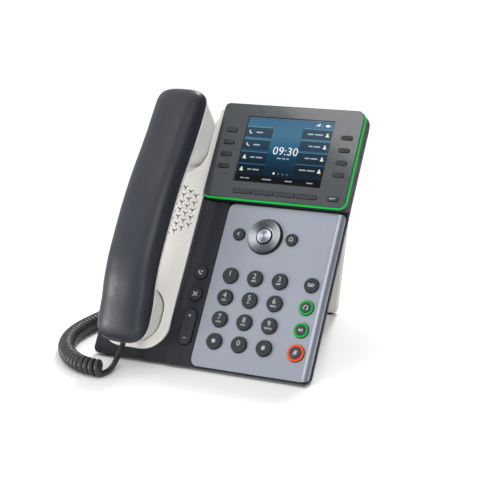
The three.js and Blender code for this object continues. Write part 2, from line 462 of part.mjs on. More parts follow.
// Rim all round, hollow to the rear.
leg = leg.subtract(slab([[-half(14) + 3.4, 14], [half(14) - 3.4, 14], [half(legLength - 9) - 3.4, legLength - 9],
  [-half(legLength - 9) + 3.4, legLength - 9]], -STAND.t / 2 + STAND.skin, 10));
leg = leg.subtract(slab(rect(-24, 66, 24, 98, 5, 3), -10, 10));   // cable window
leg = leg.add(slab(rect(-26.5, 63.5, 26.5, 100.5, 6, 3), -STAND.t / 2, STAND.t / 2).subtract(slab(rect(-24, 66, 24, 98, 5, 3), -10, 10)));
const barrel = new THREE.CylinderGeometry(4.1, 4.1, 116, 12);
barrel.rotateZ(Math.PI / 2);
const stub = new THREE.CylinderGeometry(HINGE.pin, HINGE.pin, 129, 12);
stub.rotateZ(Math.PI / 2);
leg = leg.add(solid(barrel)).add(solid(stub));
const standMatrix = new THREE.Matrix4().makeRotationX(legAngle).setPosition(hingePoint);
const floorCut = block(-200, -300, -100, 200, 300, 2.1);
floorCut.applyMatrix4(standMatrix.clone().invert());
leg = leg.subtract(solid(floorCut));
add(stand, 'desk_stand', leg, 'offwhite');

add(group, 'stand_foot', block(-32, STAND.foot_y - 3.6, 0, 32, STAND.foot_y + 3.6, 1.8), 'rubber');
const bottomFront = FACE_Y + 1.86 - 29.8 + 0;   // front edge of the underside
add(group, 'front_foot', block(-76, bottomFront + 8, 0, 76, bottomFront + 18, BASE_CLEAR - GAP), 'rubber');

// Network sockets.
let net = cut(NET.x0, NET.y0, NET.z0, NET.x1, NET.y1, NET.z1);
for (const cx of [NET.x0 + 9.4, NET.x1 - 9.4]) net = net.subtract(cut(cx - 5.95, NET.y1 - 11.5, NET.z0 + 2.6, cx + 5.95, NET.y1 + 1, NET.z0 + 11.2));
add(group, 'network_jack', net, 'black');

// ----------------------------------------------------------------------- lead
// The coiled part is one thick tube of the coil's outer diameter.
function tube(points, d, sides, steps) {
  const curve = new THREE.CatmullRomCurve3(points.map((p) => new THREE.Vector3(...p)), false, 'centripetal');
  const section = new THREE.Shape(circle(0, 0, d / 2, sides).map(([x, y]) => new THREE.Vector2(x, y)));
  return new THREE.ExtrudeGeometry(section, { steps, bevelEnabled: false, extrudePath: curve });
}
const place = (x, y, z) => new THREE.Vector3(x, y, z).applyMatrix4(tiltMatrix);
const plugBox = (name, x0, y0, z0, x1, y1, z1) => add(face, name, block(x0, y0, z0, x1, y1, z1), 'clear');
const HANDSET_EXIT = -46.0;
plugBox('handset_plug', CRADLE_X - 3.8, HANDSET_EXIT, 8, CRADLE_X + 3.8, -37.5, 14);
plugBox('base_plug', JACK.x - 3.7, JACK.y - 3.2, -REAR_DEPTH - 7, JACK.x + 3.7, JACK.y + 3.2, -25);

const Y0 = FACE_Y - 1.86;                       // table frame of the lead's route
const coilZ = COIL_D / 2 + 0.1;
const coilRoute = [[-53.3, -69.2], [-58.5, -69.6], [-65, -68.9], [-73, -66.8], [-82.3, -61.8], [-94, -52.4], [-106.5, -36.5], [-115, -19.5],
  [-119.6, -4], [-121.6, 11], [-122, 26.5], [-121.2, 46], [-117.5, 65], [-110, 82], [-98, 95.5], [-81, 103], [-66, 104]]
  .map(([x, y]) => [x, Y0 + y, coilZ]);
add(group, 'cord_coil', tube(coilRoute, COIL_D, 10, 22), 'cord');

const exitA = place(CRADLE_X, HANDSET_EXIT - GAP, 11);
const downA = new THREE.Vector3(0, -Math.cos(TILT), -Math.sin(TILT));
const tailA = [exitA, exitA.clone().addScaledVector(downA, 5)].map((v) => v.toArray());
for (const [x, y, z] of [[-59.2, -39.5, 7.0], [-58.2, -46.5, 3.2], [-55.5, -54, 2.4], [-52.6, -61, 2.4], [-50.5, -68, 2.5]]) tailA.push([x, Y0 + y, z]);
add(group, 'cord_tail_handset', tube(tailA, CORD_D, 10, 12), 'cord');

const exitB = place(JACK.x, JACK.y, -REAR_DEPTH - 7 - GAP);
const downB = new THREE.Vector3(0, Math.sin(TILT), -Math.cos(TILT));
const tailB = [exitB, exitB.clone().addScaledVector(downB, 6)].map((v) => v.toArray());
for (const [x, y, z] of [[-66, 50, 7.5], [-65.2, 62, 3.2], [-64, 76, 2.4], [-63.6, 90, 2.4], [-63.5, 103.5, 2.5]]) tailB.push([x, Y0 + y, z]);
add(group, 'cord_tail_base', tube(tailB, CORD_D, 10, 14), 'cord');

export default group;
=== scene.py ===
import math

import bpy
import bmesh
import numpy as np
from mathutils import Matrix, Vector
from mathutils.geometry import delaunay_2d_cdt

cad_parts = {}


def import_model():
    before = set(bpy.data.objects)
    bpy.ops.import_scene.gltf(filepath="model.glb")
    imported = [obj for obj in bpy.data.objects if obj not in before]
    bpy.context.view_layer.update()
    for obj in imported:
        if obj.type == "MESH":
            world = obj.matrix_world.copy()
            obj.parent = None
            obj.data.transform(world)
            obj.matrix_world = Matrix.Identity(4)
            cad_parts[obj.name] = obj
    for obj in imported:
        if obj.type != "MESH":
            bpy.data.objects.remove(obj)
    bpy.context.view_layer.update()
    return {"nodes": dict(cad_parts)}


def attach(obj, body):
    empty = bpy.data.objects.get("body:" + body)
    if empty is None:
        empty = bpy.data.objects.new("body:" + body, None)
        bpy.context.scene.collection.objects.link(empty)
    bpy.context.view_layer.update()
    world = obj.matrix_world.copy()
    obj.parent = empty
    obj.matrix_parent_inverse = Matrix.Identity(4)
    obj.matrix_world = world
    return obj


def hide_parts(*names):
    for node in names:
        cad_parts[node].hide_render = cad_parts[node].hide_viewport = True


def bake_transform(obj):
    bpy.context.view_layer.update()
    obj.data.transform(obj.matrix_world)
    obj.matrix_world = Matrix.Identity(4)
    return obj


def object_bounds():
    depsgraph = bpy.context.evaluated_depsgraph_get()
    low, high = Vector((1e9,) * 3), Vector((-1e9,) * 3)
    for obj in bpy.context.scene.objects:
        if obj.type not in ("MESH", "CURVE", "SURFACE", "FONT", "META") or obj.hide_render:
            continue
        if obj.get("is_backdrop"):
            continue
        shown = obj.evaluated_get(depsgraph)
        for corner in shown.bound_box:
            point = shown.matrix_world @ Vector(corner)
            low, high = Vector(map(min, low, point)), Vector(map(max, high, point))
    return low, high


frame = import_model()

# ------------------------------------------------------------------ frames
# The tilted frame of the phone's front: x right, y up the slope, z out of the
# keypad, in millimetres. FACE takes it to the row frame, in metres.
TILT = math.radians(57.9)
S, C = math.sin(TILT), math.cos(TILT)
FACE_Y, FACE_Z = -53.595, 49.33
FACE = Matrix.Translation((0, FACE_Y / 1000, FACE_Z / 1000)) @ Matrix.Rotation(TILT, 4, "X")
IDENT = Matrix.Identity(4)


def world(x, y, z):
    return FACE @ Vector((x / 1000, y / 1000, z / 1000))


def floor_y(z, clear):
    """Lowest y at depth z that stays that far above the table."""
    return (clear - FACE_Z - z * C) / S


# ------------------------------------------------------------------ camera
cam_data = bpy.data.cameras.new("camera")
cam_data.sensor_width, cam_data.lens = 36, 98.43
cam_data.clip_start, cam_data.clip_end = 0.05, 20
cam = bpy.data.objects.new("camera", cam_data)
bpy.context.scene.collection.objects.link(cam)
cam.location = (0.44933, -0.91950, 0.32074)
cam.rotation_euler = (math.radians(90 - 13.62), 0, math.radians(25.89))
bpy.context.scene.camera = cam


# ------------------------------------------------------------------ shapes
class Shape:
    """Vertices in millimetres, faces, and one material number for each face."""

    def __init__(self):
        self.v, self.f, self.m = [], [], []

    def add(self, verts, faces, mat=0):
        b = len(self.v)
        self.v.extend(tuple(map(float, p)) for p in verts)
        self.f.extend(tuple(i + b for i in f) for f in faces)
        self.m.extend([mat] * len(faces))
        return self

    def rings(self, rings, mat=0, cap0=True, cap1=True, closed=False, mats=None):
        n, k = len(rings[0]), len(rings)
        b = len(self.v)
        for r in rings:
            self.v.extend(tuple(map(float, p)) for p in r)
        for j in range(k if closed else k - 1):
            p, q = b + j * n, b + ((j + 1) % k) * n
            for i in range(n):
                i2 = (i + 1) % n
                self.f.append((p + i, p + i2, q + i2, q + i))
                self.m.append(mats[j] if mats else mat)
        if not closed and cap0:
            self.f.append(tuple(b + i for i in reversed(range(n))))
            self.m.append(mats[0] if mats else mat)
        if not closed and cap1:
            self.f.append(tuple(b + (k - 1) * n + i for i in range(n)))
            self.m.append(mats[-1] if mats else mat)
        return self


def rounded(corners, seg=8):
    out, n = [], len(corners)
    for i, (x, y, r) in enumerate(corners):
        p = Vector((x, y))
        if not r:
            out.append((x, y))
            continue
        a = (Vector(corners[i - 1][:2]) - p).normalized()
        b = (Vector(corners[(i + 1) % n][:2]) - p).normalized()
        half = math.acos(max(-1, min(1, a.dot(b)))) / 2
        d = r / math.tan(half)
        c = p + (a + b).normalized() * (r / math.sin(half))
        s, e = p + a * d - c, p + b * d - c
        a0 = math.atan2(s.y, s.x)
        da = math.atan2(e.y, e.x) - a0
        while da > math.pi:
            da -= 2 * math.pi
        while da < -math.pi:
            da += 2 * math.pi
        for k in range(seg + 1):
            t = a0 + da * k / seg
            out.append((c.x + r * math.cos(t), c.y + r * math.sin(t)))
    return out


def rect(x0, y0, x1, y1, r=0.0, seg=8):
    return rounded([(x0, y0, r), (x1, y0, r), (x1, y1, r), (x0, y1, r)], seg)


def circle(cx, cy, r, n=48):
    return [(cx + r * math.cos(2 * math.pi * i / n), cy + r * math.sin(2 * math.pi * i / n)) for i in range(n)]


def dense(loop, step=4.0):
    """The loop with no edge longer than step."""
    out = []
    for i, p in enumerate(loop):
        q = loop[(i + 1) % len(loop)]
        k = max(1, int(math.ceil(math.dist(p, q) / step)))
        out += [(p[0] + (q[0] - p[0]) * t / k, p[1] + (q[1] - p[1]) * t / k) for t in range(k)]
    return out


def offset(loop, d):
    """An anticlockwise loop moved outwards by d."""
    p = np.array(loop, float)
    e = np.roll(p, -1, 0) - p
    e /= np.maximum(np.linalg.norm(e, axis=1), 1e-9)[:, None]
    nrm = np.stack([e[:, 1], -e[:, 0]], 1)
    m = nrm + np.roll(nrm, 1, 0)
    m /= np.maximum(np.linalg.norm(m, axis=1), 1e-9)[:, None]
    m /= np.maximum((m * nrm).sum(1), 0.35)[:, None]
    return p + m * d


def inside(pts, loop):
    pts, loop = np.asarray(pts, float), np.asarray(loop, float)
    x, y = pts[:, 0][:, None], pts[:, 1][:, None]
    a, b = loop, np.roll(loop, -1, 0)
    dy = b[:, 1] - a[:, 1]
    dy = np.where(np.abs(dy) < 1e-12, 1e-12, dy)
    hit = ((a[:, 1] > y) != (b[:, 1] > y)) & (x < (b[:, 0] - a[:, 0]) * (y - a[:, 1]) / dy + a[:, 0])
    return hit.sum(1) % 2 == 1


def cdt(loops, pts=()):
    """Triangles between the first loop and the others: points, triangles and where each loop's points went."""
    verts, edges = [], []
    for loop in loops:
        b, n = len(verts), len(loop)
        verts += [Vector((float(p[0]), float(p[1]))) for p in loop]
        edges += [(b + i, b + (i + 1) % n) for i in range(n)]
    verts += [Vector((float(p[0]), float(p[1]))) for p in pts]
    ov, _, of, orig, _, _ = delaunay_2d_cdt(verts, edges, [], 0, 1e-6, True)
    where = [0] * len(verts)
    for i, group in enumerate(orig):
        for k in group:
            where[k] = i
    p = np.array([(v.x, v.y) for v in ov])
    tri = np.array([f for f in of if len(f) == 3])
    mid = p[tri].mean(1)
    keep = inside(mid, loops[0])
    for hole in loops[1:]:
        lo, hi = np.min(hole, 0), np.max(hole, 0)
        near = np.where(keep & (mid >= lo).all(1) & (mid <= hi).all(1))[0]
        if len(near):
            keep[near[inside(mid[near], hole)]] = False
    at, loops_at = 0, []
    for loop in loops:
        loops_at.append([where[at + i] for i in range(len(loop))])
        at += len(loop)
    return p, tri[keep], loops_at


def arc(r, n=4):
    """Rounded edge: (inset, drop) pairs from the flat to the wall."""
    return [(r * (1 - math.sin(math.pi / 2 * k / n)), r * (1 - math.cos(math.pi / 2 * k / n))) for k in range(n + 1)]


def flat_map(u, v, n):
    return (u, v, n)


def panel(shape, outer, holes=(), top=0.0, depth=2.0, r=0.6, rh=0.4, mapf=flat_map, grid=None, mat=0, wall=None, hole_mat=None,
          nf=4, outer_profile=None, pts=None, hole_depth=None):
    """A closed sheet with rounded edges. outer and holes are anticlockwise. mapf(u, v, n) places a point."""
    hole_depth = hole_depth or {}
    prof = outer_profile or (arc(r, nf) + [(0.0, depth)])
    hprof = arc(rh, nf) + [(0.0, depth)]
    top_loops = [offset(outer, -prof[0][0])] + [offset(h, rh) for h in holes]
    inner = []
    if grid:
        lo, hi = np.min(top_loops[0], 0), np.max(top_loops[0], 0)
        gx, gy = np.meshgrid(np.arange(lo[0] + grid / 2, hi[0], grid), np.arange(lo[1] + grid / 2, hi[1], grid))
        g = np.stack([gx.ravel(), gy.ravel()], 1)
        ok = inside(g, offset(top_loops[0], -grid * 0.35))
        for h in top_loops[1:]:
            ok &= ~inside(g, offset(h, grid * 0.35))
        inner = g[ok].tolist()
    if pts is not None:
        inner += list(pts)
    p, tri, at = cdt(top_loops, inner)
    b = len(shape.v)
    shape.v.extend(tuple(map(float, mapf(u, v, top))) for u, v in p)
    shape.f.extend(tuple(int(i) + b for i in t) for t in tri)
    shape.m.extend([mat] * len(tri))
    ends = []
    for li, (loop, profile) in enumerate([(outer, prof)] + [(h, hprof) for h in holes]):
        prev = [b + i for i in at[li]]
        sign = -1 if li == 0 else 1
        for inset, drop in profile[1:]:
            ring = offset(loop, sign * inset)
            s = len(shape.v)
            shape.v.extend(tuple(map(float, mapf(u, v, top - drop))) for u, v in ring)
            cur = list(range(s, s + len(ring)))
            for i in range(len(ring)):
                j = (i + 1) % len(ring)
                shape.f.append((prev[i], prev[j], cur[j], cur[i]))
                w = (hole_mat if li and hole_mat is not None else wall)
                shape.m.append(mat if w is None or drop < depth - 1e-6 else w)
            prev = cur
        ends.append(prev)
    last = [offset(outer, -prof[-1][0])] + [np.array(h, float) for h in holes]
    p2, tri2, at2 = cdt(last)
    index = {}
    for li, ids in enumerate(at2):
        for k, i in enumerate(ids):
            index[i] = ends[li][k]
    for i in range(len(p2)):
        if i not in index:
            index[i] = len(shape.v)
            shape.v.append(tuple(map(float, mapf(p2[i][0], p2[i][1], top - prof[-1][1]))))
    for t in tri2:
        shape.f.append(tuple(index[int(i)] for i in reversed(t)))
        shape.m.append(mat if wall is None else wall)
    return shape


def revolve(shape, cx, cy, profile, n=64, mats=None, mat=0):
    """A closed turned solid: profile is (radius, z) from the bottom to the top; a radius of 0 closes it."""
    rings, ms = [], []
    body = [(r, z) for r, z in profile if r > 1e-6]
    for r, z in body:
        rings.append([(cx + r * math.cos(2 * math.pi * i / n), cy + r * math.sin(2 * math.pi * i / n), z) for i in range(n)])
    ring_closed = profile[0][0] > 1e-6
    b = len(shape.v)
    for ring in rings:
        shape.v.extend(ring)
    k = len(rings)
    for j in range(k if ring_closed else k - 1):
        p, q = b + j * n, b + ((j + 1) % k) * n
        for i in range(n):
            i2 = (i + 1) % n
            shape.f.append((p + i, p + i2, q + i2, q + i))
            shape.m.append(mats[j] if mats else mat)
    if not ring_closed:
        for z, ring, flip, m in ((profile[0][1], 0, True, 0), (profile[-1][1], k - 1, False, -1)):
            c = len(shape.v)
            shape.v.append((cx, cy, z))
            for i in range(n):
                i2 = (i + 1) % n
                a, d = b + ring * n + i, b + ring * n + i2
                shape.f.append((c, d, a) if flip else (c, a, d))
                shape.m.append(mats[m] if mats else mat)
    return shape


def prism(shape, loop, z0, z1, mat=0):
    return shape.rings([[(x, y, z0) for x, y in loop], [(x, y, z1) for x, y in loop]], mat)


def ribbon(shape, pts, w, z0, z1, mat=0, closed=False):
    """A stroke of even width along 2D points, as one closed prism with mitred joints."""
    p = np.array(pts, float)
    n = len(p)
    out = []
    for i in range(n):
        if closed:
            a, b = p[i] - p[i - 1], p[(i + 1) % n] - p[i]
        else:
            a = p[i] - p[i - 1] if i else p[1] - p[0]
            b = p[i + 1] - p[i] if i < n - 1 else p[-1] - p[-2]
        a, b = a / max(np.linalg.norm(a), 1e-9), b / max(np.linalg.norm(b), 1e-9)
        m = np.array([-(a + b)[1], (a + b)[0]])
        m /= max(np.linalg.norm(m), 1e-9)
        c = max(0.5, m @ np.array([-a[1], a[0]]))
        out.append((p[i] + m * w / 2 / c, p[i] - m * w / 2 / c))
    sec = [[(l[0], l[1], z0), (l[0], l[1], z1), (r[0], r[1], z1), (r[0], r[1], z0)] for l, r in out]
    return shape.rings(sec, mat, closed=closed)


def sweep(shape, path, section, mat=0):
    """section is (offset to the right of the path, z) pairs, swept along 2D path points."""
    p = np.array(path, float)
    n = len(p)
    rings = []
    for i in range(n):
        a = p[i] - p[i - 1] if i else p[1] - p[0]
        b = p[i + 1] - p[i] if i < n - 1 else p[-1] - p[-2]
        t = a / np.linalg.norm(a) + b / np.linalg.norm(b)
        t /= np.linalg.norm(t)
        m = np.array([t[1], -t[0]])
        rings.append([(p[i][0] + m[0] * o, p[i][1] + m[1] * o, z) for o, z in section])
    return shape.rings(rings, mat)


def make(name, shape, mats, body, node=None, matrix=FACE, angle=38, weighted=True, merge=True, blend=None, bake=False):
    me = bpy.data.meshes.new(name)
    me.from_pydata([(x / 1000, y / 1000, z / 1000) for x, y, z in shape.v], [], shape.f)
    if bake:
        me.transform(matrix)
        matrix = IDENT
    for m in mats:
        me.materials.append(m)
    me.polygons.foreach_set("material_index", shape.m)
    bm = bmesh.new()
    bm.from_mesh(me)
    if merge:
        bmesh.ops.remove_doubles(bm, verts=bm.verts, dist=2e-7)
        bmesh.ops.dissolve_degenerate(bm, dist=1e-8, edges=bm.edges)
    loose = [v for v in bm.verts if not v.link_faces]
    bmesh.ops.delete(bm, geom=loose, context="VERTS")
    bmesh.ops.recalc_face_normals(bm, faces=bm.faces)
    bm.to_mesh(me)
    bm.free()
    for p in me.polygons:
        p.use_smooth = True
    me.set_sharp_from_angle(angle=math.radians(angle))
    ob = bpy.data.objects.new(name, me)
    bpy.context.scene.collection.objects.link(ob)
    ob.matrix_world = matrix
    if weighted:
        w = ob.modifiers.new("weighted", "WEIGHTED_NORMAL")
        w.mode, w.weight, w.keep_sharp = "FACE_AREA", 50, True
    if blend is None:
        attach(ob, body)
    if node:
        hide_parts(*([node] if isinstance(node, str) else node))
    return ob


def text(shape, body, cx, cy, size, z0, z1, mat=0, spacing=1.0, weight=0.0):
    """Generic lettering as closed prisms, centred on a point."""
    cu = bpy.data.curves.new("t", "FONT")
    cu.body, cu.size, cu.align_x, cu.align_y = body, 1.0, "CENTER", "CENTER"
    cu.space_character = spacing
    cu.resolution_u = 4
    cu.offset = weight
    cu.extrude = 0.5
    ob = bpy.data.objects.new("t", cu)
    bpy.context.scene.collection.objects.link(ob)
    bpy.context.view_layer.update()
    me = bpy.data.meshes.new_from_object(ob.evaluated_get(bpy.context.evaluated_depsgraph_get()))
    co = np.array([v.co for v in me.vertices])
    if len(co):
        lo, hi = co.min(0), co.max(0)
        mid = (lo + hi) / 2
        k = size / (hi[1] - lo[1])
        v = [((x - mid[0]) * k + cx, (y - mid[1]) * k + cy, z1 if z > 0 else z0) for x, y, z in co]
        shape.add(v, [tuple(p.vertices) for p in me.polygons], mat)
    bpy.data.objects.remove(ob)
    bpy.data.meshes.remove(me)
    bpy.data.curves.remove(cu)
    return shape


# --------------------------------------------------------------- materials
def srgb(h):
    v = [int(h[i:i + 2], 16) / 255 for i in (1, 3, 5)]
    return tuple((c / 12.92 if c <= 0.04045 else ((c + 0.055) / 1.055) ** 2.4) for c in v)


class Mat:
    def __init__(self, name):
        self.m = bpy.data.materials.new(name)
        self.m.use_nodes = True
        self.nt = self.m.node_tree
        self.b = self.nt.nodes["Principled BSDF"]
        self.co = self.node("ShaderNodeTexCoord").outputs["Object"]

    def node(self, kind, **kw):
        n = self.nt.nodes.new(kind)
        for k, v in kw.items():
            setattr(n, k, v)
        return n

    def link(self, a, b):
        self.nt.links.new(a, b)

    def noise(self, scale, detail=3.0, stretch=None, rough=0.5):
        n = self.node("ShaderNodeTexNoise")
        n.inputs["Scale"].default_value = scale
        n.inputs["Detail"].default_value = detail
        n.inputs["Roughness"].default_value = rough
        if stretch:
            mp = self.node("ShaderNodeMapping")
            mp.inputs["Scale"].default_value = stretch
            self.link(self.co, mp.inputs["Vector"])
            self.link(mp.outputs["Vector"], n.inputs["Vector"])
        else:
            self.link(self.co, n.inputs["Vector"])
        return n.outputs["Fac"]

    def ramp(self, fac, stops):
        r = self.node("ShaderNodeValToRGB")
        while len(r.color_ramp.elements) < len(stops):
            r.color_ramp.elements.new(0.5)
        for e, (p, c) in zip(r.color_ramp.elements, stops):
            e.position = p
            e.color = (*c, 1) if len(c) == 3 else c
        self.link(fac, r.inputs["Fac"])
        return r.outputs["Color"]

    def mix(self, fac, a, b, mode="MIX"):
        n = self.node("ShaderNodeMix", data_type="RGBA", blend_type=mode)
        for sock, v in ((n.inputs[0], fac), (n.inputs[6], a), (n.inputs[7], b)):
            if hasattr(v, "is_output"):
                self.link(v, sock)
            elif isinstance(v, (tuple, list)):
                sock.default_value = (*v, 1) if len(v) == 3 else v
            else:
                sock.default_value = v
        return n.outputs[2]

    def maprange(self, fac, a, b, c, d):
        n = self.node("ShaderNodeMapRange")
        for k, v in zip(("From Min", "From Max", "To Min", "To Max"), (a, b, c, d)):
            n.inputs[k].default_value = v
        self.link(fac, n.inputs["Value"])
        return n.outputs["Result"]

    def set(self, name, v):
        s = self.b.inputs[name]
        if hasattr(v, "is_output"):
            self.link(v, s)
        else:
            s.default_value = (*v, 1) if isinstance(v, (tuple, list)) and len(v) == 3 else v

    def bump(self, fac, strength, dist):
        n = self.node("ShaderNodeBump")
        n.inputs["Strength"].default_value = strength
        n.inputs["Distance"].default_value = dist
        self.link(fac, n.inputs["Height"])
        self.link(n.outputs["Normal"], self.b.inputs["Normal"])


def plastic(name, color, rough=0.5, grain=0.5, var=0.10, speck=0.12, bump=0.25, spec=0.5, coat=0.0, dist=0.00004):
    """Moulded plastic: fine texture, slow tone changes and uneven gloss."""
    m = Mat(name)
    fine, slow = m.noise(1000 / grain, 2.0), m.noise(28, 3.0)
    mid = m.noise(240, 4.0)
    dark, light = tuple(c * (1 - var) for c in color), tuple(c * (1 + var) for c in color)
    base = m.ramp(slow, [(0.3, dark), (0.7, light)])
    speckle = m.ramp(fine, [(0.30, (1 - speck,) * 3), (0.70, (1 + speck,) * 3)])
    m.set("Base Color", m.mix(1.0, base, speckle, "MULTIPLY"))
    m.set("Roughness", m.maprange(mid, 0.3, 0.7, rough - 0.05, rough + 0.06))
    m.set("Specular IOR Level", spec)
    if coat:
        m.set("Coat Weight", coat)
        m.set("Coat Roughness", 0.08)
    m.bump(fine, bump, dist)
    return m.m


def glow(name, color, strength, rough=0.35, body=0.2):
    """Lit translucent light guide, a little uneven along its length."""
    m = Mat(name)
    v = m.noise(90, 2.0)
    tint = m.ramp(v, [(0.3, tuple(c * 0.9 for c in color)), (0.7, color)])
    m.set("Base Color", m.mix(1.0, tint, (body, body, body), "MULTIPLY"))
    m.set("Roughness", m.maprange(v, 0.3, 0.7, rough - 0.05, rough + 0.05))
    m.set("Specular IOR Level", 0.2)
    m.set("Emission Color", tint)
    m.set("Emission Strength", strength)
    m.bump(m.noise(1500), 0.1, 0.00002)
    return m.m


charcoal = plastic("charcoal_plastic", srgb("#25272c"), 0.52, 0.55, 0.08, 0.22, 0.35, spec=0.2)
dark = plastic("dark_plastic", srgb("#191b1e"), 0.42, 0.5, 0.08, 0.15, 0.25, spec=0.3)
black = plastic("black_plastic", srgb("#101113"), 0.45, 0.5, 0.08, 0.12, 0.2)
offwhite = plastic("offwhite_plastic", srgb("#e8e6e2"), 0.48, 0.6, 0.015, 0.03, 0.18, spec=0.35)
slate = plastic("slate_soft_touch", srgb("#2a2d34"), 0.38, 0.45, 0.05, 0.10, 0.22, spec=0.36)
keycap = plastic("key_plastic", srgb("#2c2e32"), 0.52, 0.45, 0.05, 0.20, 0.3, spec=0.25)
bezelm = plastic("bezel_gloss", srgb("#35393c"), 0.11, 0.4, 0.03, 0.06, 0.03, spec=0.4, coat=0.5)
bezelkey = plastic("bezel_key_gloss", srgb("#2a2d30"), 0.25, 0.4, 0.03, 0.06, 0.05, spec=0.3, coat=0.15)
rubber = plastic("rubber_foot", srgb("#1b1b1c"), 0.85, 0.8, 0.1, 0.2, 0.5)
cordm = plastic("cord_jacket", srgb("#26272b"), 0.38, 0.9, 0.08, 0.12, 0.25)
legend = plastic("legend_white", srgb("#b4b7bb"), 0.5, 0.3, 0.02, 0.03, 0.1)
clear = plastic("plug_clear", srgb("#aeb4b8"), 0.15, 0.6, 0.03, 0.04, 0.05, coat=0.5)
green = glow("green_light", (0.0, 0.74, 0.085), 0.36)
green_bar = glow("green_light_bar", (0.0, 0.78, 0.09), 0.42)
orange = glow("orange_light", (1.0, 0.085, 0.008), 0.75)


def silver_paint():
    m = Mat("silver_plate_finish")
    fine = m.noise(2600, 2.0)
    brush = m.noise(60, 3.0, (1.0, 60.0, 60.0))
    slow = m.noise(14, 2.0)
    base = m.ramp(slow, [(0.3, srgb("#8b909b")), (0.7, srgb("#959aa5"))])
    tone = m.ramp(brush, [(0.3, (0.97,) * 3), (0.7, (1.03,) * 3)])
    flake = m.ramp(fine, [(0.3, (0.93,) * 3), (0.7, (1.07,) * 3)])
    m.set("Base Color", m.mix(1.0, m.mix(1.0, base, tone, "MULTIPLY"), flake, "MULTIPLY"))
    m.set("Metallic", 0.55)
    m.set("Roughness", m.maprange(brush, 0.3, 0.7, 0.33, 0.41))
    m.set("Coat Weight", 0.25)
    m.set("Coat Roughness", 0.25)
    m.bump(fine, 0.12, 0.00003)
    return m.m


def spun_metal(name, shade_c="#4d5156", mid_c="#7a7e83", highlight_c="#b2b5b8"):
    """Turned metal: rings of fine lines round the middle of the piece, and a painted highlight: a fan of lighter and
    darker base colour by angle.
    """
    m = Mat(name)
    gen = m.node("ShaderNodeTexCoord").outputs["Generated"]
    sep = m.node("ShaderNodeSeparateXYZ")
    m.link(gen, sep.inputs[0])
    dx, dy = m.maprange(sep.outputs[0], 0, 1, -1, 1), m.maprange(sep.outputs[1], 0, 1, -1, 1)
    at = m.node("ShaderNodeMath", operation="ARCTAN2")
    m.link(dy, at.inputs[0])
    m.link(dx, at.inputs[1])
    two = m.node("ShaderNodeMath", operation="MULTIPLY_ADD")
    two.inputs[1].default_value, two.inputs[2].default_value = 2.0, -0.55
    m.link(at.outputs[0], two.inputs[0])
    co = m.node("ShaderNodeMath", operation="COSINE")
    m.link(two.outputs[0], co.inputs[0])
    painted_highlight_fan = m.maprange(co.outputs[0], -1, 1, 0, 1)
    com = m.node("ShaderNodeCombineXYZ")
    rr = m.node("ShaderNodeVectorMath", operation="LENGTH")
    cc = m.node("ShaderNodeCombineXYZ")
    m.link(dx, cc.inputs[0])
    m.link(dy, cc.inputs[1])
    m.link(cc.outputs[0], rr.inputs[0])
    m.link(rr.outputs["Value"], com.inputs[0])
    lines = m.node("ShaderNodeTexNoise")
    lines.inputs["Scale"].default_value = 90
    lines.inputs["Detail"].default_value = 2
    m.link(com.outputs[0], lines.inputs["Vector"])
    # Painted highlight: the base colour goes from dark through mid to light with the angle round the middle, standing
    # in for the metal's fan of reflections.
    tone = m.ramp(painted_highlight_fan, [(0.1, srgb(shade_c)), (0.55, srgb(mid_c)), (0.95, srgb(highlight_c))])
    fine = m.ramp(lines.outputs["Fac"], [(0.3, (0.9,) * 3), (0.7, (1.06,) * 3)])
    m.set("Base Color", m.mix(1.0, tone, fine, "MULTIPLY"))
    m.set("Metallic", 0.85)
    m.set("Roughness", m.maprange(lines.outputs["Fac"], 0.3, 0.7, 0.26, 0.36))
    m.set("Anisotropic", 0.6)
    m.bump(lines.outputs["Fac"], 0.15, 0.00003)
    return m.m


silver = silver_paint()
steel = spun_metal("spun_ring_metal")
steel2 = spun_metal("spun_button_metal", "#73787f", "#a0a6b0", "#cdd1d9")


def board_mat():
    m = Mat("board_laminate")
    v = m.node("ShaderNodeTexVoronoi", feature="DISTANCE_TO_EDGE")
    v.inputs["Scale"].default_value = 220
    m.link(m.co, v.inputs["Vector"])
    m.set("Base Color", m.ramp(v.outputs["Distance"], [(0.02, srgb("#2f7a4b")), (0.08, srgb("#17472a"))]))
    m.set("Roughness", 0.4)
    m.bump(v.outputs["Distance"], 0.2, 0.00005)
    return m.m


board = board_mat()
screwm = spun_metal("screw_metal", "#55585c", "#74777b", "#9a9da1")


def gold_mat():
    m = Mat("contact_gold")
    n = m.noise(900)
    m.set("Base Color", m.ramp(n, [(0.3, srgb("#b8923e")), (0.7, srgb("#d8b35c"))]))
    m.set("Metallic", 1.0)
    m.set("Roughness", m.maprange(n, 0.3, 0.7, 0.22, 0.34))
    return m.m


gold = gold_mat()


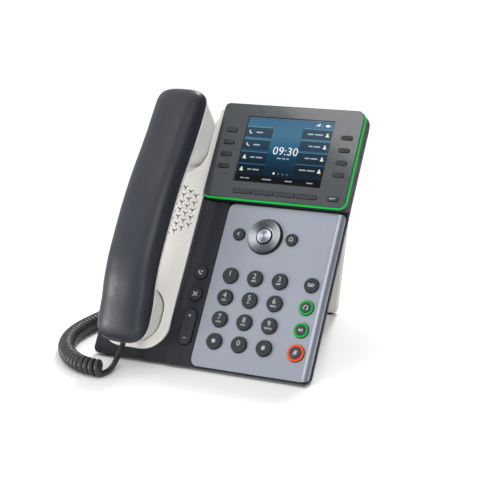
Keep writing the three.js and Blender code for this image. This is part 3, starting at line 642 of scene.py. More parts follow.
# ============================================================ lead
def spline(points, step):
    """Centripetal Catmull-Rom through the points, sampled about every step."""
    p = [Vector(q) for q in points]
    p = [p[0] * 2 - p[1]] + p + [p[-1] * 2 - p[-2]]
    out = []
    for i in range(1, len(p) - 2):
        p0, p1, p2, p3 = p[i - 1:i + 3]
        t0 = 0.0
        t1 = t0 + max((p1 - p0).length, 1e-6) ** 0.5
        t2 = t1 + max((p2 - p1).length, 1e-6) ** 0.5
        t3 = t2 + max((p3 - p2).length, 1e-6) ** 0.5
        k = max(2, int((p2 - p1).length / step))
        for j in range(k):
            t = t1 + (t2 - t1) * j / k
            a1 = p0 * ((t1 - t) / (t1 - t0)) + p1 * ((t - t0) / (t1 - t0))
            a2 = p1 * ((t2 - t) / (t2 - t1)) + p2 * ((t - t1) / (t2 - t1))
            a3 = p2 * ((t3 - t) / (t3 - t2)) + p3 * ((t - t2) / (t3 - t2))
            b1 = a1 * ((t2 - t) / (t2 - t0)) + a2 * ((t - t0) / (t2 - t0))
            b2 = a2 * ((t3 - t) / (t3 - t1)) + a3 * ((t - t1) / (t3 - t1))
            out.append(b1 * ((t2 - t) / (t2 - t1)) + b2 * ((t - t1) / (t2 - t1)))
    out.append(p[-2].copy())
    return out


CORD_D, COIL_D, PITCH = 4.2, 13.0, 4.5
Y0 = FACE_Y - 1.86
COIL_Z = 6.6
coil_route = [(x, Y0 + y, COIL_Z) for x, y in [
    (-53.3, -69.2), (-58.5, -69.6), (-65, -68.9), (-73, -66.8), (-82.3, -61.8), (-94, -52.4), (-106.5, -36.5), (-115, -19.5),
    (-119.6, -4), (-121.6, 11), (-122, 26.5), (-121.2, 46), (-117.5, 65), (-110, 82), (-98, 95.5), (-81, 103), (-66, 104)]]
axis_pts = spline(coil_route, 0.5)
arc_len = [0.0]
for a, b in zip(axis_pts, axis_pts[1:]):
    arc_len.append(arc_len[-1] + (b - a).length)
COIL_LEN = arc_len[-1]
START, STOP = 2.3, COIL_LEN - 2.3              # the helix's own centreline, so its turns stay in the coil
turns = math.floor((STOP - START) / PITCH) + 0.5
pitch = (STOP - START) / turns
PER = 20


def axis_at(s):
    i = int(np.clip(np.searchsorted(arc_len, s) - 1, 0, len(axis_pts) - 2))
    t = (s - arc_len[i]) / max(arc_len[i + 1] - arc_len[i], 1e-9)
    p = axis_pts[i].lerp(axis_pts[i + 1], max(0, min(1, t)))
    a, b = axis_pts[max(0, i - 3)], axis_pts[min(len(axis_pts) - 1, i + 4)]
    return p, (b - a).normalized()


helix = []
R_H = (COIL_D - CORD_D) / 2
for k in range(int(turns * PER) + 1):
    phi = math.pi - 2 * math.pi * k / PER
    p, t = axis_at(START + pitch * k / PER)
    h = Vector((-t.y, t.x, 0))
    helix.append(p + Vector((0, 0, 1)) * (R_H * math.cos(phi)) + h * (R_H * math.sin(phi)))

exit_a = world(-59, -46.3, 11) * 1000
down_a = Vector((0, -C, -S))
tail_a = [exit_a, exit_a + down_a * 5] + [Vector((x, Y0 + y, z)) for x, y, z in [
    (-59.2, -39.5, 7.0), (-58.2, -46.5, 3.4), (-56.2, -54, 2.35), (-54.9, -60.5, 2.25)]]
tail_a = spline([tuple(p) for p in tail_a + helix[:3]], 1.2)
cut_a = min(range(len(tail_a)), key=lambda i: (tail_a[i] - helix[0]).length)
tail_a = tail_a[:cut_a]

exit_b = world(-66, -9, -34 - 7 - 0.3) * 1000
down_b = Vector((0, S, -C))
tail_b = [exit_b, exit_b + down_b * 6] + [Vector((x, Y0 + y, z)) for x, y, z in [
    (-66, 50, 7.5), (-65.4, 60, 3.4), (-65.1, 70, 2.3), (-65.4, 80, 2.6), (-66.4, 90, 6.0), (-67.4, 97, 9.6)]]
tail_b = spline([tuple(p) for p in tail_b + list(reversed(helix[-3:]))], 1.2)
cut_b = min(range(len(tail_b)), key=lambda i: (tail_b[i] - helix[-1]).length)
tail_b = tail_b[:cut_b]


def tube(name, path, d, sides, mats):
    """A closed mesh tube along the points, with no twist."""
    pts = [path[0]]
    for p in path[1:]:
        if (p - pts[-1]).length > 0.25:
            pts.append(p)
    shape, rings = Shape(), []
    t = (pts[1] - pts[0]).normalized()
    n = t.orthogonal().normalized()
    for i, p in enumerate(pts):
        a = pts[max(0, i - 1)]
        b = pts[min(len(pts) - 1, i + 1)]
        t2 = (b - a).normalized()
        n = t.rotation_difference(t2) @ n
        n = (n - t2 * n.dot(t2)).normalized()
        t = t2
        m = t.cross(n)
        rings.append([p + n * (d / 2 * math.cos(2 * math.pi * j / sides)) + m * (d / 2 * math.sin(2 * math.pi * j / sides)) for j in range(sides)])
    shape.rings(rings)
    length = sum((b - a).length for a, b in zip(pts, pts[1:]))
    return shape, [tuple(c / 1000 for c in p) for p in pts], length / 1000


# The first turns at the handset stretch when it is lifted, so they are a length
# of their own. It ends where a turn passes its side away from the handset.
FRONT_TURNS = 9
split = int(FRONT_TURNS * PER) + 5
front_line = tail_a + helix[:split + 1]
rear_line = tail_b + list(reversed(helix[split:]))
sh, path_front, LEN_FRONT = tube("cord_front", front_line, CORD_D, 14, [cordm])
cord_front = make("handset_cord_front", sh, [cordm], "base", node=["cord_tail_handset"], matrix=IDENT, angle=60, weighted=False, blend=True)
sh, path_rear, LEN_REAR = tube("cord_rear", rear_line, CORD_D, 14, [cordm])
cord_rear = make("handset_cord_coil", sh, [cordm], "base", node=["cord_coil", "cord_tail_base"], matrix=IDENT, angle=60, weighted=False)
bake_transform(cord_front)
print("cord lengths", round(LEN_FRONT, 3), round(LEN_REAR, 3))

# ============================================================ front housing
PLATE = dict(x0=-6.6, x1=86.5, y0=-54.2, y1=73.7, roll=5.7)
LEFT_SIDE, RIGHT_SIDE, CLEAR = -88.9, 87.0, 2.4


def lean(x, z):
    """The right side of the housings leans inwards towards the table."""
    return min(x, RIGHT_SIDE - 0.5 * max(0.0, -9.2 - z))


LEFT_X = -15.4
ROCK = (-15.2, -26.0)


def smooth(a, b, x):
    t = max(0.0, min(1.0, (x - a) / (b - a)))
    return t * t * (3 - 2 * t)


def front_height(x, y):
    """Relief of the charcoal strip: a ridge beside the cradle, a valley beside it and a groove at the lower end."""
    z = 0.0
    if -31 < x < -6:
        fade = smooth(-26, -8, y)
        ridge = smooth(-30.4, -26.6, x) * (1 - smooth(-24.6, -19.2, x))
        z += 2.6 * ridge * fade
        valley = smooth(-22.5, -18.5, x) * (1 - smooth(-16, -8.5, x))
        z -= 0.7 * valley * smooth(20, 34, y)
    if -52 < x < -8 and y < -12:
        g = math.exp(-((x + 27.5 + (y + 50) * 0.08) / 3.2) ** 2)
        z -= 1.1 * g * smooth(-20, -34, y)
        z += 0.5 * math.exp(-((x + 19.5) / 4.0) ** 2) * smooth(-34, -46, y)
    return z


def front_map(u, v, n):
    z = n + front_height(u, v)
    return (lean(u, z), max(v, floor_y(z, CLEAR)), z)


front = Shape()
main_loop = rounded([
    (LEFT_SIDE, -55.35, 5), (RIGHT_SIDE, -57.5, 3), (RIGHT_SIDE, -54.5, 0), (-6.9, -54.5, 6.8), (-6.9, 74.0, 0), (-30.2, 74.0, 0),
    (-30.2, -47.8, 20), (-87.8, -47.8, 20), (-87.8, 140.6, 0), (LEFT_SIDE, 140.6, 0.6)], 10)
main_loop = dense(main_loop, 3.0)
key_holes = [circle(LEFT_X, 16.6, 5.25, 56), circle(LEFT_X, -0.5, 5.25, 56), rect(ROCK[0] - 5.3, ROCK[1] - 14.05, ROCK[0] + 5.3, ROCK[1] + 14.05, 5.25, 12)]
panel(front, main_loop, key_holes, 0.0, 14.0, 0.5, 0.35, front_map, grid=1.6)
rim_prof = arc(0.7, 4) + [(0.0, 2.9), (0.0, 5.3), (0.0, 7.7)]
seat = rounded([(-33.6, 73.9, 0), (RIGHT_SIDE, 73.9, 0), (RIGHT_SIDE, 151, 7), (-33.6, 151, 1.5)], 8)
panel(front, seat, (), -6.3, 7.7, 0.7, 0.4, lambda u, v, n: (lean(u, n), v, n), outer_profile=rim_prof)
side_rim = dense(rounded([(79.5, -54.3, 0), (RIGHT_SIDE, -54.3, 0), (RIGHT_SIDE, 73.8, 0), (79.5, 73.8, 0)], 4), 6)
panel(front, side_rim, (), -6.2, 7.8, 0.5, 0.4, lambda u, v, n: (lean(u, n), max(v, floor_y(n, CLEAR)), n), outer_profile=arc(0.5, 4) + [(0.0, 3.0), (0.0, 5.4), (0.0, 7.8)])
make("front_shell", front, [charcoal], "base", node="front_housing", angle=32, bake=True)

# ============================================================ rear housing
NOTCH_X = -34.0


def body_outline(i, ir, bottom):
    return rounded([
        (LEFT_SIDE + i, bottom, 4), (RIGHT_SIDE - ir, bottom, 4), (RIGHT_SIDE - ir, 151 - i, 7), (NOTCH_X + i * 0.4 + 0.4, 151 - i, 1.5),
        (NOTCH_X + i * 0.4 + 0.4, 141 - i, 1), (LEFT_SIDE + i, 141 - i, 8)], 8)


rear = Shape()
# A ring profile from the rim to the flat back, with a soft edge round the back.
levels = [(0.4, -14.3), (0.9, -15.2)]
for k in range(1, 9):
    t = k / 8
    levels.append((0.9 + 8.0 * t, -15.2 - 13.6 * t))
levels += [(9.6, -30.2), (10.6, -31.6), (11.9, -32.8), (13.4, -33.6), (15.0, -33.95), (16.4, -34.0)]


def rear_ring(i, z):
    ir = max(i, 2.95 + 0.41 * (-14.3 - z)) if z > -30 else max(i, 9.6)
    return [(x, max(y, floor_y(z, CLEAR)), z) for x, y in body_outline(i, ir, -90)]


outer_rings = [rear_ring(i, z) for i, z in levels]
b0 = len(rear.v)
rear.rings(outer_rings, cap0=False, cap1=False)
# Flat back with its vents, screw wells, lead socket and network window.
flat_loop = [(p[0], p[1]) for p in outer_rings[-1]]
vents = []
for row in range(7):
    for side in (-1, 1):
        cx, cy = side * 30, 104 + row * 4.6
        if side < 0:
            cx = -8
        vents.append(rect(cx - 15, cy - 0.9, cx + 15, cy + 0.9, 0.88, 4))
wells = [circle(x, y, 3.6, 32) for x, y in ((-67, 118), (63, 128), (-67, -24), (63, -18))]
lead_socket = rect(-66 - 4.1, -9 - 3.6, -66 + 4.1, -9 + 3.6, 0.5, 3)
net_window = rect(13.6, -14.6, 50.4, 3.8, 1.0, 4)
slots = [rect(-30 - 2.6, 20, -30 + 2.6, 28, 2.5, 6), rect(30 - 2.6, 20, 30 + 2.6, 28, 2.5, 6)]
back_holes = vents + wells + [lead_socket, net_window] + slots
p, tri, at = cdt([flat_loop] + back_holes)
b1 = len(rear.v)
rear.v.extend((float(u), float(v), -34.0) for u, v in p)
rear.f.extend(tuple(int(i) + b1 for i in t) for t in tri)
rear.m.extend([0] * len(tri))
for hi, hole in enumerate(back_holes):
    deep = 2.4 if hi < len(vents) else (4.0 if hi < len(vents) + 4 else (9.5 if hi == len(vents) + 4 else (17.0 if hi == len(vents) + 5 else 3.0)))
    inner = [(-34.0, 0.0), (-33.7, 0.0), (-34.0 + deep, 0.0)]
    ids = [b1 + i for i in at[hi + 1]]
    prev = ids
    for z in (-33.6, -34.0 + deep):
        s = len(rear.v)
        rear.v.extend((x, y, z) for x, y in hole)
        cur = list(range(s, s + len(hole)))
        for i in range(len(hole)):
            j = (i + 1) % len(hole)
            rear.f.append((prev[i], prev[j], cur[j], cur[i]))
            rear.m.append(0)
        prev = cur
    rear.f.append(tuple(prev))
    rear.m.append(1)
rear.f.append(tuple(b0 + i for i in reversed(range(len(outer_rings[0])))))
rear.m.append(0)
# Hinge lugs with their feet.
HY, HZ = 92.0, -38.5
for s in (-1, 1):
    xa, xb = (-65, -59) if s < 0 else (59, 65)
    prof = []
    for k in range(25):
        a = math.pi * k / 24
        prof.append((HY + 5.4 * math.cos(a), HZ - 5.4 * math.sin(a)))
    prof += [(HY - 6.6, -33.5), (HY + 6.6, -33.5)]
    hole = [(HY + 3.1 * math.cos(2 * math.pi * k / 32), HZ + 3.1 * math.sin(2 * math.pi * k / 32)) for k in range(32)]
    lug = Shape()
    panel(lug, offset(prof[::-1], 0).tolist() if False else prof[::-1], [hole], xb, xb - xa, 0.5, 0.3, lambda u, v, n: (n, u, v))
    rear.add(lug.v, lug.f, 0)
make("rear_shell", rear, [charcoal, black], "base", node="rear_housing", angle=32, bake=True)

screws = Shape()
for x, y in ((-67, 118), (63, 128), (-67, -24), (63, -18)):
    revolve(screws, x, y, [(0, -30.4), (2.9, -30.4), (2.9, -31.6), (2.6, -31.9), (0, -32.2)][::-1], 32)
    for ang in (0, math.pi / 2):
        dx, dy = math.cos(ang), math.sin(ang)
        ribbon(screws, [(x - dx * 1.6, y - dy * 1.6), (x + dx * 1.6, y + dy * 1.6)], 0.6, -32.25, -31.95, 1)
make("casing_screws", screws, [screwm, black], "base")

# ============================================================ keypad plate
CX = PLATE["x1"] - PLATE["roll"]


def plate_map(u, v, n):
    if u <= CX:
        x, z = u, n
    else:
        a = min((u - CX) / PLATE["roll"], math.pi / 2)
        rest = max(0.0, (u - CX) - PLATE["roll"] * math.pi / 2)
        r = PLATE["roll"] + n
        x, z = CX + r * math.sin(a), -PLATE["roll"] + r * math.cos(a) - rest
    return (x, max(v, floor_y(z, 3.4)), z)


U1 = CX + PLATE["roll"] * math.pi / 2
PX, PY, PAD_X = 20.05, 16.95, 29.0
dial = {}
for name, c, r in [("key_1", -1, 1), ("key_2", 0, 1), ("key_3", 1, 1), ("key_4", -1, 0), ("key_5", 0, 0), ("key_6", 1, 0),
                   ("key_7", -1, -1), ("key_8", 0, -1), ("key_9", 1, -1), ("key_star", -1, -2), ("key_0", 0, -2), ("key_hash", 1, -2)]:
    dial[name] = (PAD_X + c * PX, r * PY, 5.95)
small = {"back_key": (7.5, 49.6, 4.5), "home_key": (50.4, 49.6, 4.5), "voicemail_key": (74.1, 17, 5.4),
         "headset_key": (74.1, 0, 5.5), "speaker_key": (74.1, -17, 5.5), "mute_key": (74.1, -34, 6.3)}
NAV = (28.8, 49.9)
plate = Shape()
plate_loop = dense(rounded([(PLATE["x0"], PLATE["y0"], 6.5), (U1, PLATE["y0"], 1.5), (U1, PLATE["y1"], 4.0), (PLATE["x0"], PLATE["y1"], 5.5)], 10), 2.0)
plate_holes = [circle(x, y, r + 0.22, 64) for x, y, r in list(dial.values()) + list(small.values())] + [circle(*NAV, 13.9, 96)]
roll_pts = [(CX + PLATE["roll"] * math.pi / 2 * k / 14, y) for k in range(0, 14) for y in np.arange(-52, 73, 2.6)]
panel(plate, plate_loop, plate_holes, 0.0, 1.9, 0.55, 0.28, plate_map, pts=roll_pts)
make("keypad_faceplate", plate, [silver], "base", node="keypad_plate", angle=30, bake=True)

# ============================================================ cradle insert
cradle = Shape()
top_loop = dense(rounded([
    (-87.5, -47.5, 19.7), (-30.5, -47.5, 19.7), (-30.5, 149.8, 1.2), (-34.0, 149.8, 0.9), (-34.0, 140.6, 0), (-35.8, 140.6, 0),
    (-35.8, 94.6, 19), (-81.9, 94.6, 19), (-81.9, 140.6, 0), (-87.5, 140.6, 2)], 14), 3.0)
mouth = rect(-79.9, -43, -38.1, 0.6, 18.5, 16)


def tristar(cx, cy, r=2.7, w=0.5):
    """Three-armed slot with blunt ends."""
    out = []
    for k in range(3):
        a = math.radians(34 + 120 * k)
        d = Vector((math.cos(a), math.sin(a)))
        m = Vector((-d.y, d.x))
        notch = a - math.radians(60)
        q = Vector((math.cos(notch), math.sin(notch))) * (w * 1.18)
        out += [tuple(q), tuple(d * (r - w * 0.4) - m * w), tuple(d * r - m * w * 0.45), tuple(d * r + m * w * 0.45), tuple(d * (r - w * 0.4) + m * w)]
    return [(cx + x, cy + y) for x, y in out]


grille = []
for col, count in enumerate((5, 6, 7, 8, 7, 6, 5)):
    for row in range(count):
        grille.append(tristar(-36.3 - col * 5.36, 64.8 + (row - (count - 1) / 2) * 5.95))
panel(cradle, top_loop, [mouth] + grille, 0.8, 3.0, 0.7, 0.12, flat_map)
ear_edge = rounded([(-81.9, 94.6, 19), (-35.8, 94.6, 19), (-35.8, 140.6, 0), (-81.9, 140.6, 0)], 14)
# Walls and floors of the two pockets.
band = [p for p in ear_edge]
wall_out = rounded([(-83.4, 93.1, 20.5), (-34.3, 93.1, 20.5), (-34.3, 140.5, 0), (-83.4, 140.5, 0)], 14)
ear_band = wall_out[:-1] + [wall_out[-1], (-81.9, 140.5)] + [p for p in reversed(ear_edge[:-2])] + [(-35.8, 140.5)]
c_loop = []
c_loop += rounded([(-83.4, 93.1, 20.5), (-34.3, 93.1, 20.5), (-34.3, 140.5, 0)], 14)[0:0]
outer_c = rounded([(-83.4, 140.5, 0), (-83.4, 93.1, 20.5), (-34.3, 93.1, 20.5), (-34.3, 140.5, 0)], 14)
inner_c = rounded([(-81.9, 140.5, 0), (-81.9, 94.6, 19), (-35.8, 94.6, 19), (-35.8, 140.5, 0)], 14)
panel(cradle, outer_c + list(reversed(inner_c)), (), -2.25, 6.4, 0.05, 0.1)
panel(cradle, rounded([(-83.4, 140.5, 0), (-83.4, 93.1, 20.5), (-34.3, 93.1, 20.5), (-34.3, 140.5, 0)], 14),
      [rect(-63.4, 115.2, -54.6, 120.8, 0.6, 4)], -8.0, 2.6, 0.05, 0.4)
panel(cradle, offset(mouth, 1.5).tolist(), [mouth], -2.25, 6.4, 0.05, 0.05)
panel(cradle, offset(mouth, 1.5).tolist(), (), -8.0, 2.6, 0.05, 0.1)
make("cradle_cover", cradle, [offwhite], "base", node="cradle_insert", angle=8, weighted=False, bake=True)
# Dark felt behind the speaker slots.
felt = Shape()
prism(felt, rect(-84, 28, -33, 92, 3), -3.2, -2.4)
make("grille_backing", felt, [black], "base")

# ============================================================ display
DX0, DX1, DY0, DY1 = -28.5, 88.9, 74.6, 153.5


def disp(i):
    return rounded([(DX0 + i, DY0 + i, 5 - min(i, 3)), (DX1 - i, DY0 + i, 7 - min(i, 3)), (DX1 - i, DY1 - i, 8 - min(i, 3)), (DX0 + i, DY1 - i, 4 - min(i, 2))], 12)


dh = Shape()
dlev = [(1.6, -6.0), (0.9, -5.8), (0.45, -5.2), (0.3, -4.4), (0.3, -1.6), (0.95, -1.5), (0.95, -0.8), (0.3, -0.7), (0.3, 3.7), (0.42, 4.1), (0.7, 4.3), (1.4, 4.3), (1.42, 3.2)]
dh.rings([[(x, y, z) for x, y in disp(i)] for i, z in dlev], mats=[0, 0, 0, 0, 1, 1, 1, 0, 0, 0, 0, 0, 0])
make("display_shell", dh, [plastic("display_side_plastic", srgb("#26282c"), 0.42, 0.5, 0.06, 0.15, 0.25, spec=0.25), black], "base", node="display_housing", angle=30)

BAR = 1.5
bez = Shape()
bez_loop = dense(rounded([(DX0 + 0.2, DY0 + BAR + 0.12, 3.5), (DX1 - BAR - 0.12, DY0 + BAR + 0.12, 5.6), (DX1 - BAR - 0.12, DY1 - 0.1, 6.8), (DX0 + 0.2, DY1 - 0.1, 4)], 10), 6)
LCD = dict(x=29.65, y=116.65, w=70.3, h=52.7)
lcd_loop = rect(LCD["x"] - 35.75, LCD["y"] - 26.95, LCD["x"] + 35.75, LCD["y"] + 26.95, 0.4, 3)
LINE = dict(w=9.2, h=3.4)
slot_keys = {}
for i, y in enumerate((131, 120.9, 111, 101.2)):
    slot_keys[f"line_key_l{i + 1}"] = (-17.3, y, 9.2, 3.4, "r")
    slot_keys[f"line_key_r{i + 1}"] = (77.2, y, 9.2, 3.4, "b")
for i, x in enumerate((3.75, 21.4, 38.9, 56.4)):
    slot_keys[f"softkey_{i + 1}"] = (x, 82.2, 16.2, 3.6, "s" if i < 3 else "r")
slot_keys["lines_key"] = (77.1, 82.3, 9.2, 3.6, "b")


def slot_outline(x, y, w, h, kind, g=0.0):
    a = {"r": 0.5, "b": 1.6, "s": 0.5}[kind] + g
    b = {"r": 1.65, "b": 1.6, "s": 0.6}[kind] + g
    return rounded([(x - w / 2 - g, y - h / 2 - g, a), (x + w / 2 + g, y - h / 2 - g, b), (x + w / 2 + g, y + h / 2 + g, b), (x - w / 2 - g, y + h / 2 + g, a)], 6)


panel(bez, bez_loop, [lcd_loop] + [slot_outline(*k, g=0.12) for k in slot_keys.values()], 6.0, 2.5, 0.45, 0.1, flat_map)
make("display_glossy_bezel", bez, [bezelm], "base", node="display_bezel", angle=8, weighted=False)

bar = Shape()
path = rounded([(DX0 + 0.75, DY0 + 4.9, 0), (DX0 + 0.75, DY0 + 0.75, 4.2), (DX1 - 0.75, DY0 + 0.75, 6.2), (DX1 - 0.75, DY1 - 0.75, 7.2), (83.2, DY1 - 0.75, 0)], 14)
path = path[:1] + [q for a, q in zip(path, path[1:]) if math.dist(a, q) > 1e-4]
sec = [(-0.68, 4.35), (-0.68, 5.3), (-0.5, 5.62), (-0.15, 5.75), (0.2, 5.7), (0.45, 5.45), (0.55, 5.0), (0.55, 4.35)]
sweep(bar, path, sec)
make("display_light_guide", bar, [green_bar], "base", node="light_bar", angle=60, weighted=False)

# Keys of the bezel: wedge-shaped, proud at the lower right. Their side walls are painted black as shade.
for name, (x, y, w, h, kind) in slot_keys.items():
    k = Shape()
    loop = slot_outline(x, y, w, h, kind)

    def wedge(u, v, n, x=x, y=y, w=w, h=h):
        if n > 5:
            n = n + 0.95 * (0.5 - (v - y) / h) + 0.25 * ((u - x) / w + 0.5)
        return (u, v, n)

    # wall=2 gives the side walls the black material: painted shade along the keys' lower and right edges.
    panel(k, loop, (), 6.02, 4.1, 0.25, 0.1, wedge, nf=3, wall=2)
    if name == "lines_key":
        for j in range(3):
            prism(k, rect(x - 2.1 + j * 1.6, y - 0.55, x - 0.9 + j * 1.6, y + 0.55, 0.2, 2), 6.3, 6.56 + 0.1, 1)
    make(name + "_cap", k, [bezelkey, legend, black], name + "_body", node=name, angle=8, weighted=False)

# ---- screen
SX0, SX1, SY0, SY1 = LCD["x"] - 35.04, LCD["x"] + 35.04, LCD["y"] - 26.28, LCD["y"] + 26.28


def lit(name, stops, strength=1.0, axis="Y", y0=SY0, y1=SY1, rough=0.12):
    m = Mat(name)
    sep = m.node("ShaderNodeSeparateXYZ")
    m.link(m.co, sep.inputs[0])
    n = m.noise(38, 2.0)
    f = m.maprange(sep.outputs[axis], y0 / 1000, y1 / 1000, 0, 1)
    add = m.node("ShaderNodeMath", operation="MULTIPLY_ADD")
    m.link(m.maprange(n, 0.3, 0.7, -0.5, 0.5), add.inputs[0])
    add.inputs[1].default_value = 0.05
    m.link(f, add.inputs[2])
    col = m.ramp(add.outputs[0], stops)
    m.set("Base Color", m.mix(1.0, col, (0.05, 0.05, 0.05), "MULTIPLY"))
    m.set("Emission Color", col)
    m.set("Emission Strength", strength)
    m.set("Specular IOR Level", 0.1)
    m.set("Roughness", m.maprange(n, 0.3, 0.7, rough, rough + 0.03))
    return m.m


back_m = lit("screen_backdrop", [(0.0, srgb("#04101b")), (0.22, srgb("#06253a")), (0.42, srgb("#0c3a55")), (0.55, srgb("#2b5f7c")), (0.75, srgb("#44708a")), (1.0, srgb("#3c6685"))])
tile_m = lit("screen_tile", [(0.0, srgb("#050f19")), (0.3, srgb("#0a1e2d")), (0.6, srgb("#253d4c")), (1.0, srgb("#3a505d"))])
line_m = lit("screen_rule", [(0.0, srgb("#1c3e58")), (0.5, srgb("#4e7891")), (1.0, srgb("#6f93a8"))])
strip_m = lit("screen_strip", [(0.0, srgb("#06080b")), (1.0, srgb("#0b0f14"))])
white_m = lit("screen_white", [(0.0, srgb("#e9eef2")), (1.0, srgb("#f4f7f9"))], 1.0)
soft_m = lit("screen_soft", [(0.0, srgb("#8fa5b5")), (1.0, srgb("#a9bccb"))], 1.0)
dot_m = lit("screen_status", [(0.0, srgb("#a9c222")), (1.0, srgb("#c0d62c"))], 1.0)
glass_m = plastic("screen_border", srgb("#07090b"), 0.1, 0.4, 0.05, 0.05, 0.02, coat=0.5)
scr = Shape()
ZS = 5.3
panel(scr, rect(LCD["x"] - 38.5, LCD["y"] - 29.5, LCD["x"] + 38.5, LCD["y"] + 29.5, 0.5, 2), (), 2.0, 3.5, 0.2, 0.1, mat=7)
prism(scr, rect(LCD["x"] - 35.5, LCD["y"] - 26.7, LCD["x"] + 35.5, LCD["y"] + 26.7, 0.2, 2), 2.02, ZS, 7)


def sx(f):
    return SX0 + (SX1 - SX0) * f


def sy(f):
    return SY1 - (SY1 - SY0) * f


def tile(f0, g0, f1, g1, mat, z, r=0.0, t=0.02):
    prism(scr, rect(sx(f0), sy(g1), sx(f1), sy(g0), r, 3), z, z + t, mat)


tile(0, 0, 1, 0.895, 0, ZS)
tile(0, 0.895, 1, 1, 3, ZS)
rows_l = [(0.155, 0.31), (0.35, 0.505), (0.545, 0.70), (0.735, 0.885)]
rows_r = [(0.13, 0.28), (0.315, 0.465), (0.50, 0.65), (0.685, 0.835)]
Z1, Z2 = ZS + 0.03, ZS + 0.06
for g0, g1 in rows_l:
    tile(0, g0, 0.315, g1, 1, Z1)
    tile(0, g0 - 0.012, 0.315, g0 - 0.002, 2, Z1)
for g0, g1 in rows_r:
    tile(0.66, g0, 1, g1, 1, Z1)
    tile(0.66, g0 - 0.012, 1, g0 - 0.002, 2, Z1)


def phone_icon(shape, cx, cy, s, z0, z1, mat):
    """Curved handset glyph."""
    pts = [(cx - 0.42 * s, cy + 0.5 * s), (cx - 0.5 * s, cy + 0.15 * s), (cx - 0.2 * s, cy - 0.3 * s), (cx + 0.2 * s, cy - 0.5 * s), (cx + 0.5 * s, cy - 0.42 * s)]
    ribbon(shape, pts, 0.24 * s, z0, z1, mat)
    prism(shape, rect(cx - 0.5 * s, cy + 0.22 * s, cx - 0.12 * s, cy + 0.58 * s, 0.1 * s, 3), z0, z1 + 0.002, mat)
    prism(shape, rect(cx + 0.16 * s, cy - 0.62 * s, cx + 0.56 * s, cy - 0.26 * s, 0.1 * s, 3), z0, z1 + 0.002, mat)


def person_icon(shape, cx, cy, s, z0, z1):
    prism(shape, circle(cx, cy + 0.32 * s, 0.27 * s, 20), z0, z1, 4)
    prism(shape, rounded([(cx - 0.5 * s, cy - 0.55 * s, 0), (cx + 0.5 * s, cy - 0.55 * s, 0), (cx + 0.42 * s, cy + 0.0 * s, 0.25 * s), (cx - 0.42 * s, cy + 0.0 * s, 0.25 * s)], 4), z0, z1, 4)
    prism(shape, circle(cx + 0.42 * s, cy - 0.48 * s, 0.24 * s, 16), z1 + 0.004, z1 + 0.02, 6)


def bars(cx, cy, widths, h, mat, z, gap=0.9):
    total = sum(widths) + gap * (len(widths) - 1)
    x = cx - total / 2
    for w in widths:
        prism(scr, rect(x, cy - h / 2, x + w, cy + h / 2, h * 0.3, 3), z, z + 0.02, mat)
        x += w + gap


for i, (g0, g1) in enumerate(rows_l):
    cy = sy((g0 + g1) / 2)
    if i < 2:
        phone_icon(scr, sx(0.055), cy, 2.2, Z2, Z2 + 0.02, 4)
        bars(sx(0.16), cy, [5.6], 1.1, 5, Z2)
    else:
        person_icon(scr, sx(0.05), cy, 2.6, Z2, Z2 + 0.02)
        bars(sx(0.19), cy, [4.0 if i == 2 else 3.2, 5.4], 1.05, 5, Z2)
for i, (g0, g1) in enumerate(rows_r):
    cy = sy((g0 + g1) / 2)
    person_icon(scr, sx(0.95), cy, 2.6, Z2, Z2 + 0.02)
    w = [[5.0, 6.6], [3.4, 5.2], [3.8, 5.6], [5.6, 6.2]][i]
    bars(sx(0.90) - (sum(w) + 0.9) / 2, cy, w, 1.05, 5, Z2)
text(scr, "09:30", sx(0.515), sy(0.495), 6.3, Z2, Z2 + 0.02, 4, 1.04, -0.004)
bars(sx(0.505), sy(0.61), [3.2, 2.8, 2.0], 1.0, 5, Z2)
prism(scr, circle(sx(0.44), sy(0.845), 0.85, 24), Z2, Z2 + 0.02, 4)
for k in range(3):
    prism(scr, circle(sx(0.495 + 0.05 * k), sy(0.85), 0.4, 16), Z2, Z2 + 0.02, 5)
for k, f in enumerate((0.115, 0.375, 0.63, 0.875)):
    bars(sx(f), sy(0.948), [[3.4, 3.2], [7.6], [5.8], [5.0]][k], 0.85, 5, Z2)
# Status icons: signal steps, a link and a charge bar.
for k in range(3):
    prism(scr, rect(sx(0.80) + k * 1.1, sy(0.075), sx(0.80) + k * 1.1 + 0.75, sy(0.075) + 0.9 + k * 0.7, 0.1, 2), Z2, Z2 + 0.02, 4)
ribbon(scr, [(sx(0.865), sy(0.08)), (sx(0.87), sy(0.05)), (sx(0.88), sy(0.05))], 0.35, Z2, Z2 + 0.02, 5)
prism(scr, rect(sx(0.91), sy(0.08), sx(0.955), sy(0.045), 0.35, 3), Z2, Z2 + 0.02, 4)
ribbon(scr, [(sx(0.975), sy(0.085)), (sx(0.975), sy(0.04))], 0.3, Z2, Z2 + 0.02, 5)
make("lcd_screen", scr, [back_m, tile_m, line_m, strip_m, white_m, soft_m, dot_m, glass_m], "base", node="lcd_module", angle=30, weighted=False)


# ============================================================ keys
def cap_profile(r, top, flange=0.9, under=-2.3, fil=0.55, dish=0.12):
    pr = [(0, under - 1.3), (r + flange, under - 1.3), (r + flange, under), (r, under), (r, top - fil)]
    for k in range(1, 5):
        a = math.pi / 2 * k / 4
        pr.append((r - fil + fil * math.cos(a), top - fil + fil * math.sin(a)))
    pr += [(r * 0.7, top - dish * 0.55), (r * 0.35, top - dish * 0.9), (0, top - dish)]
    return pr


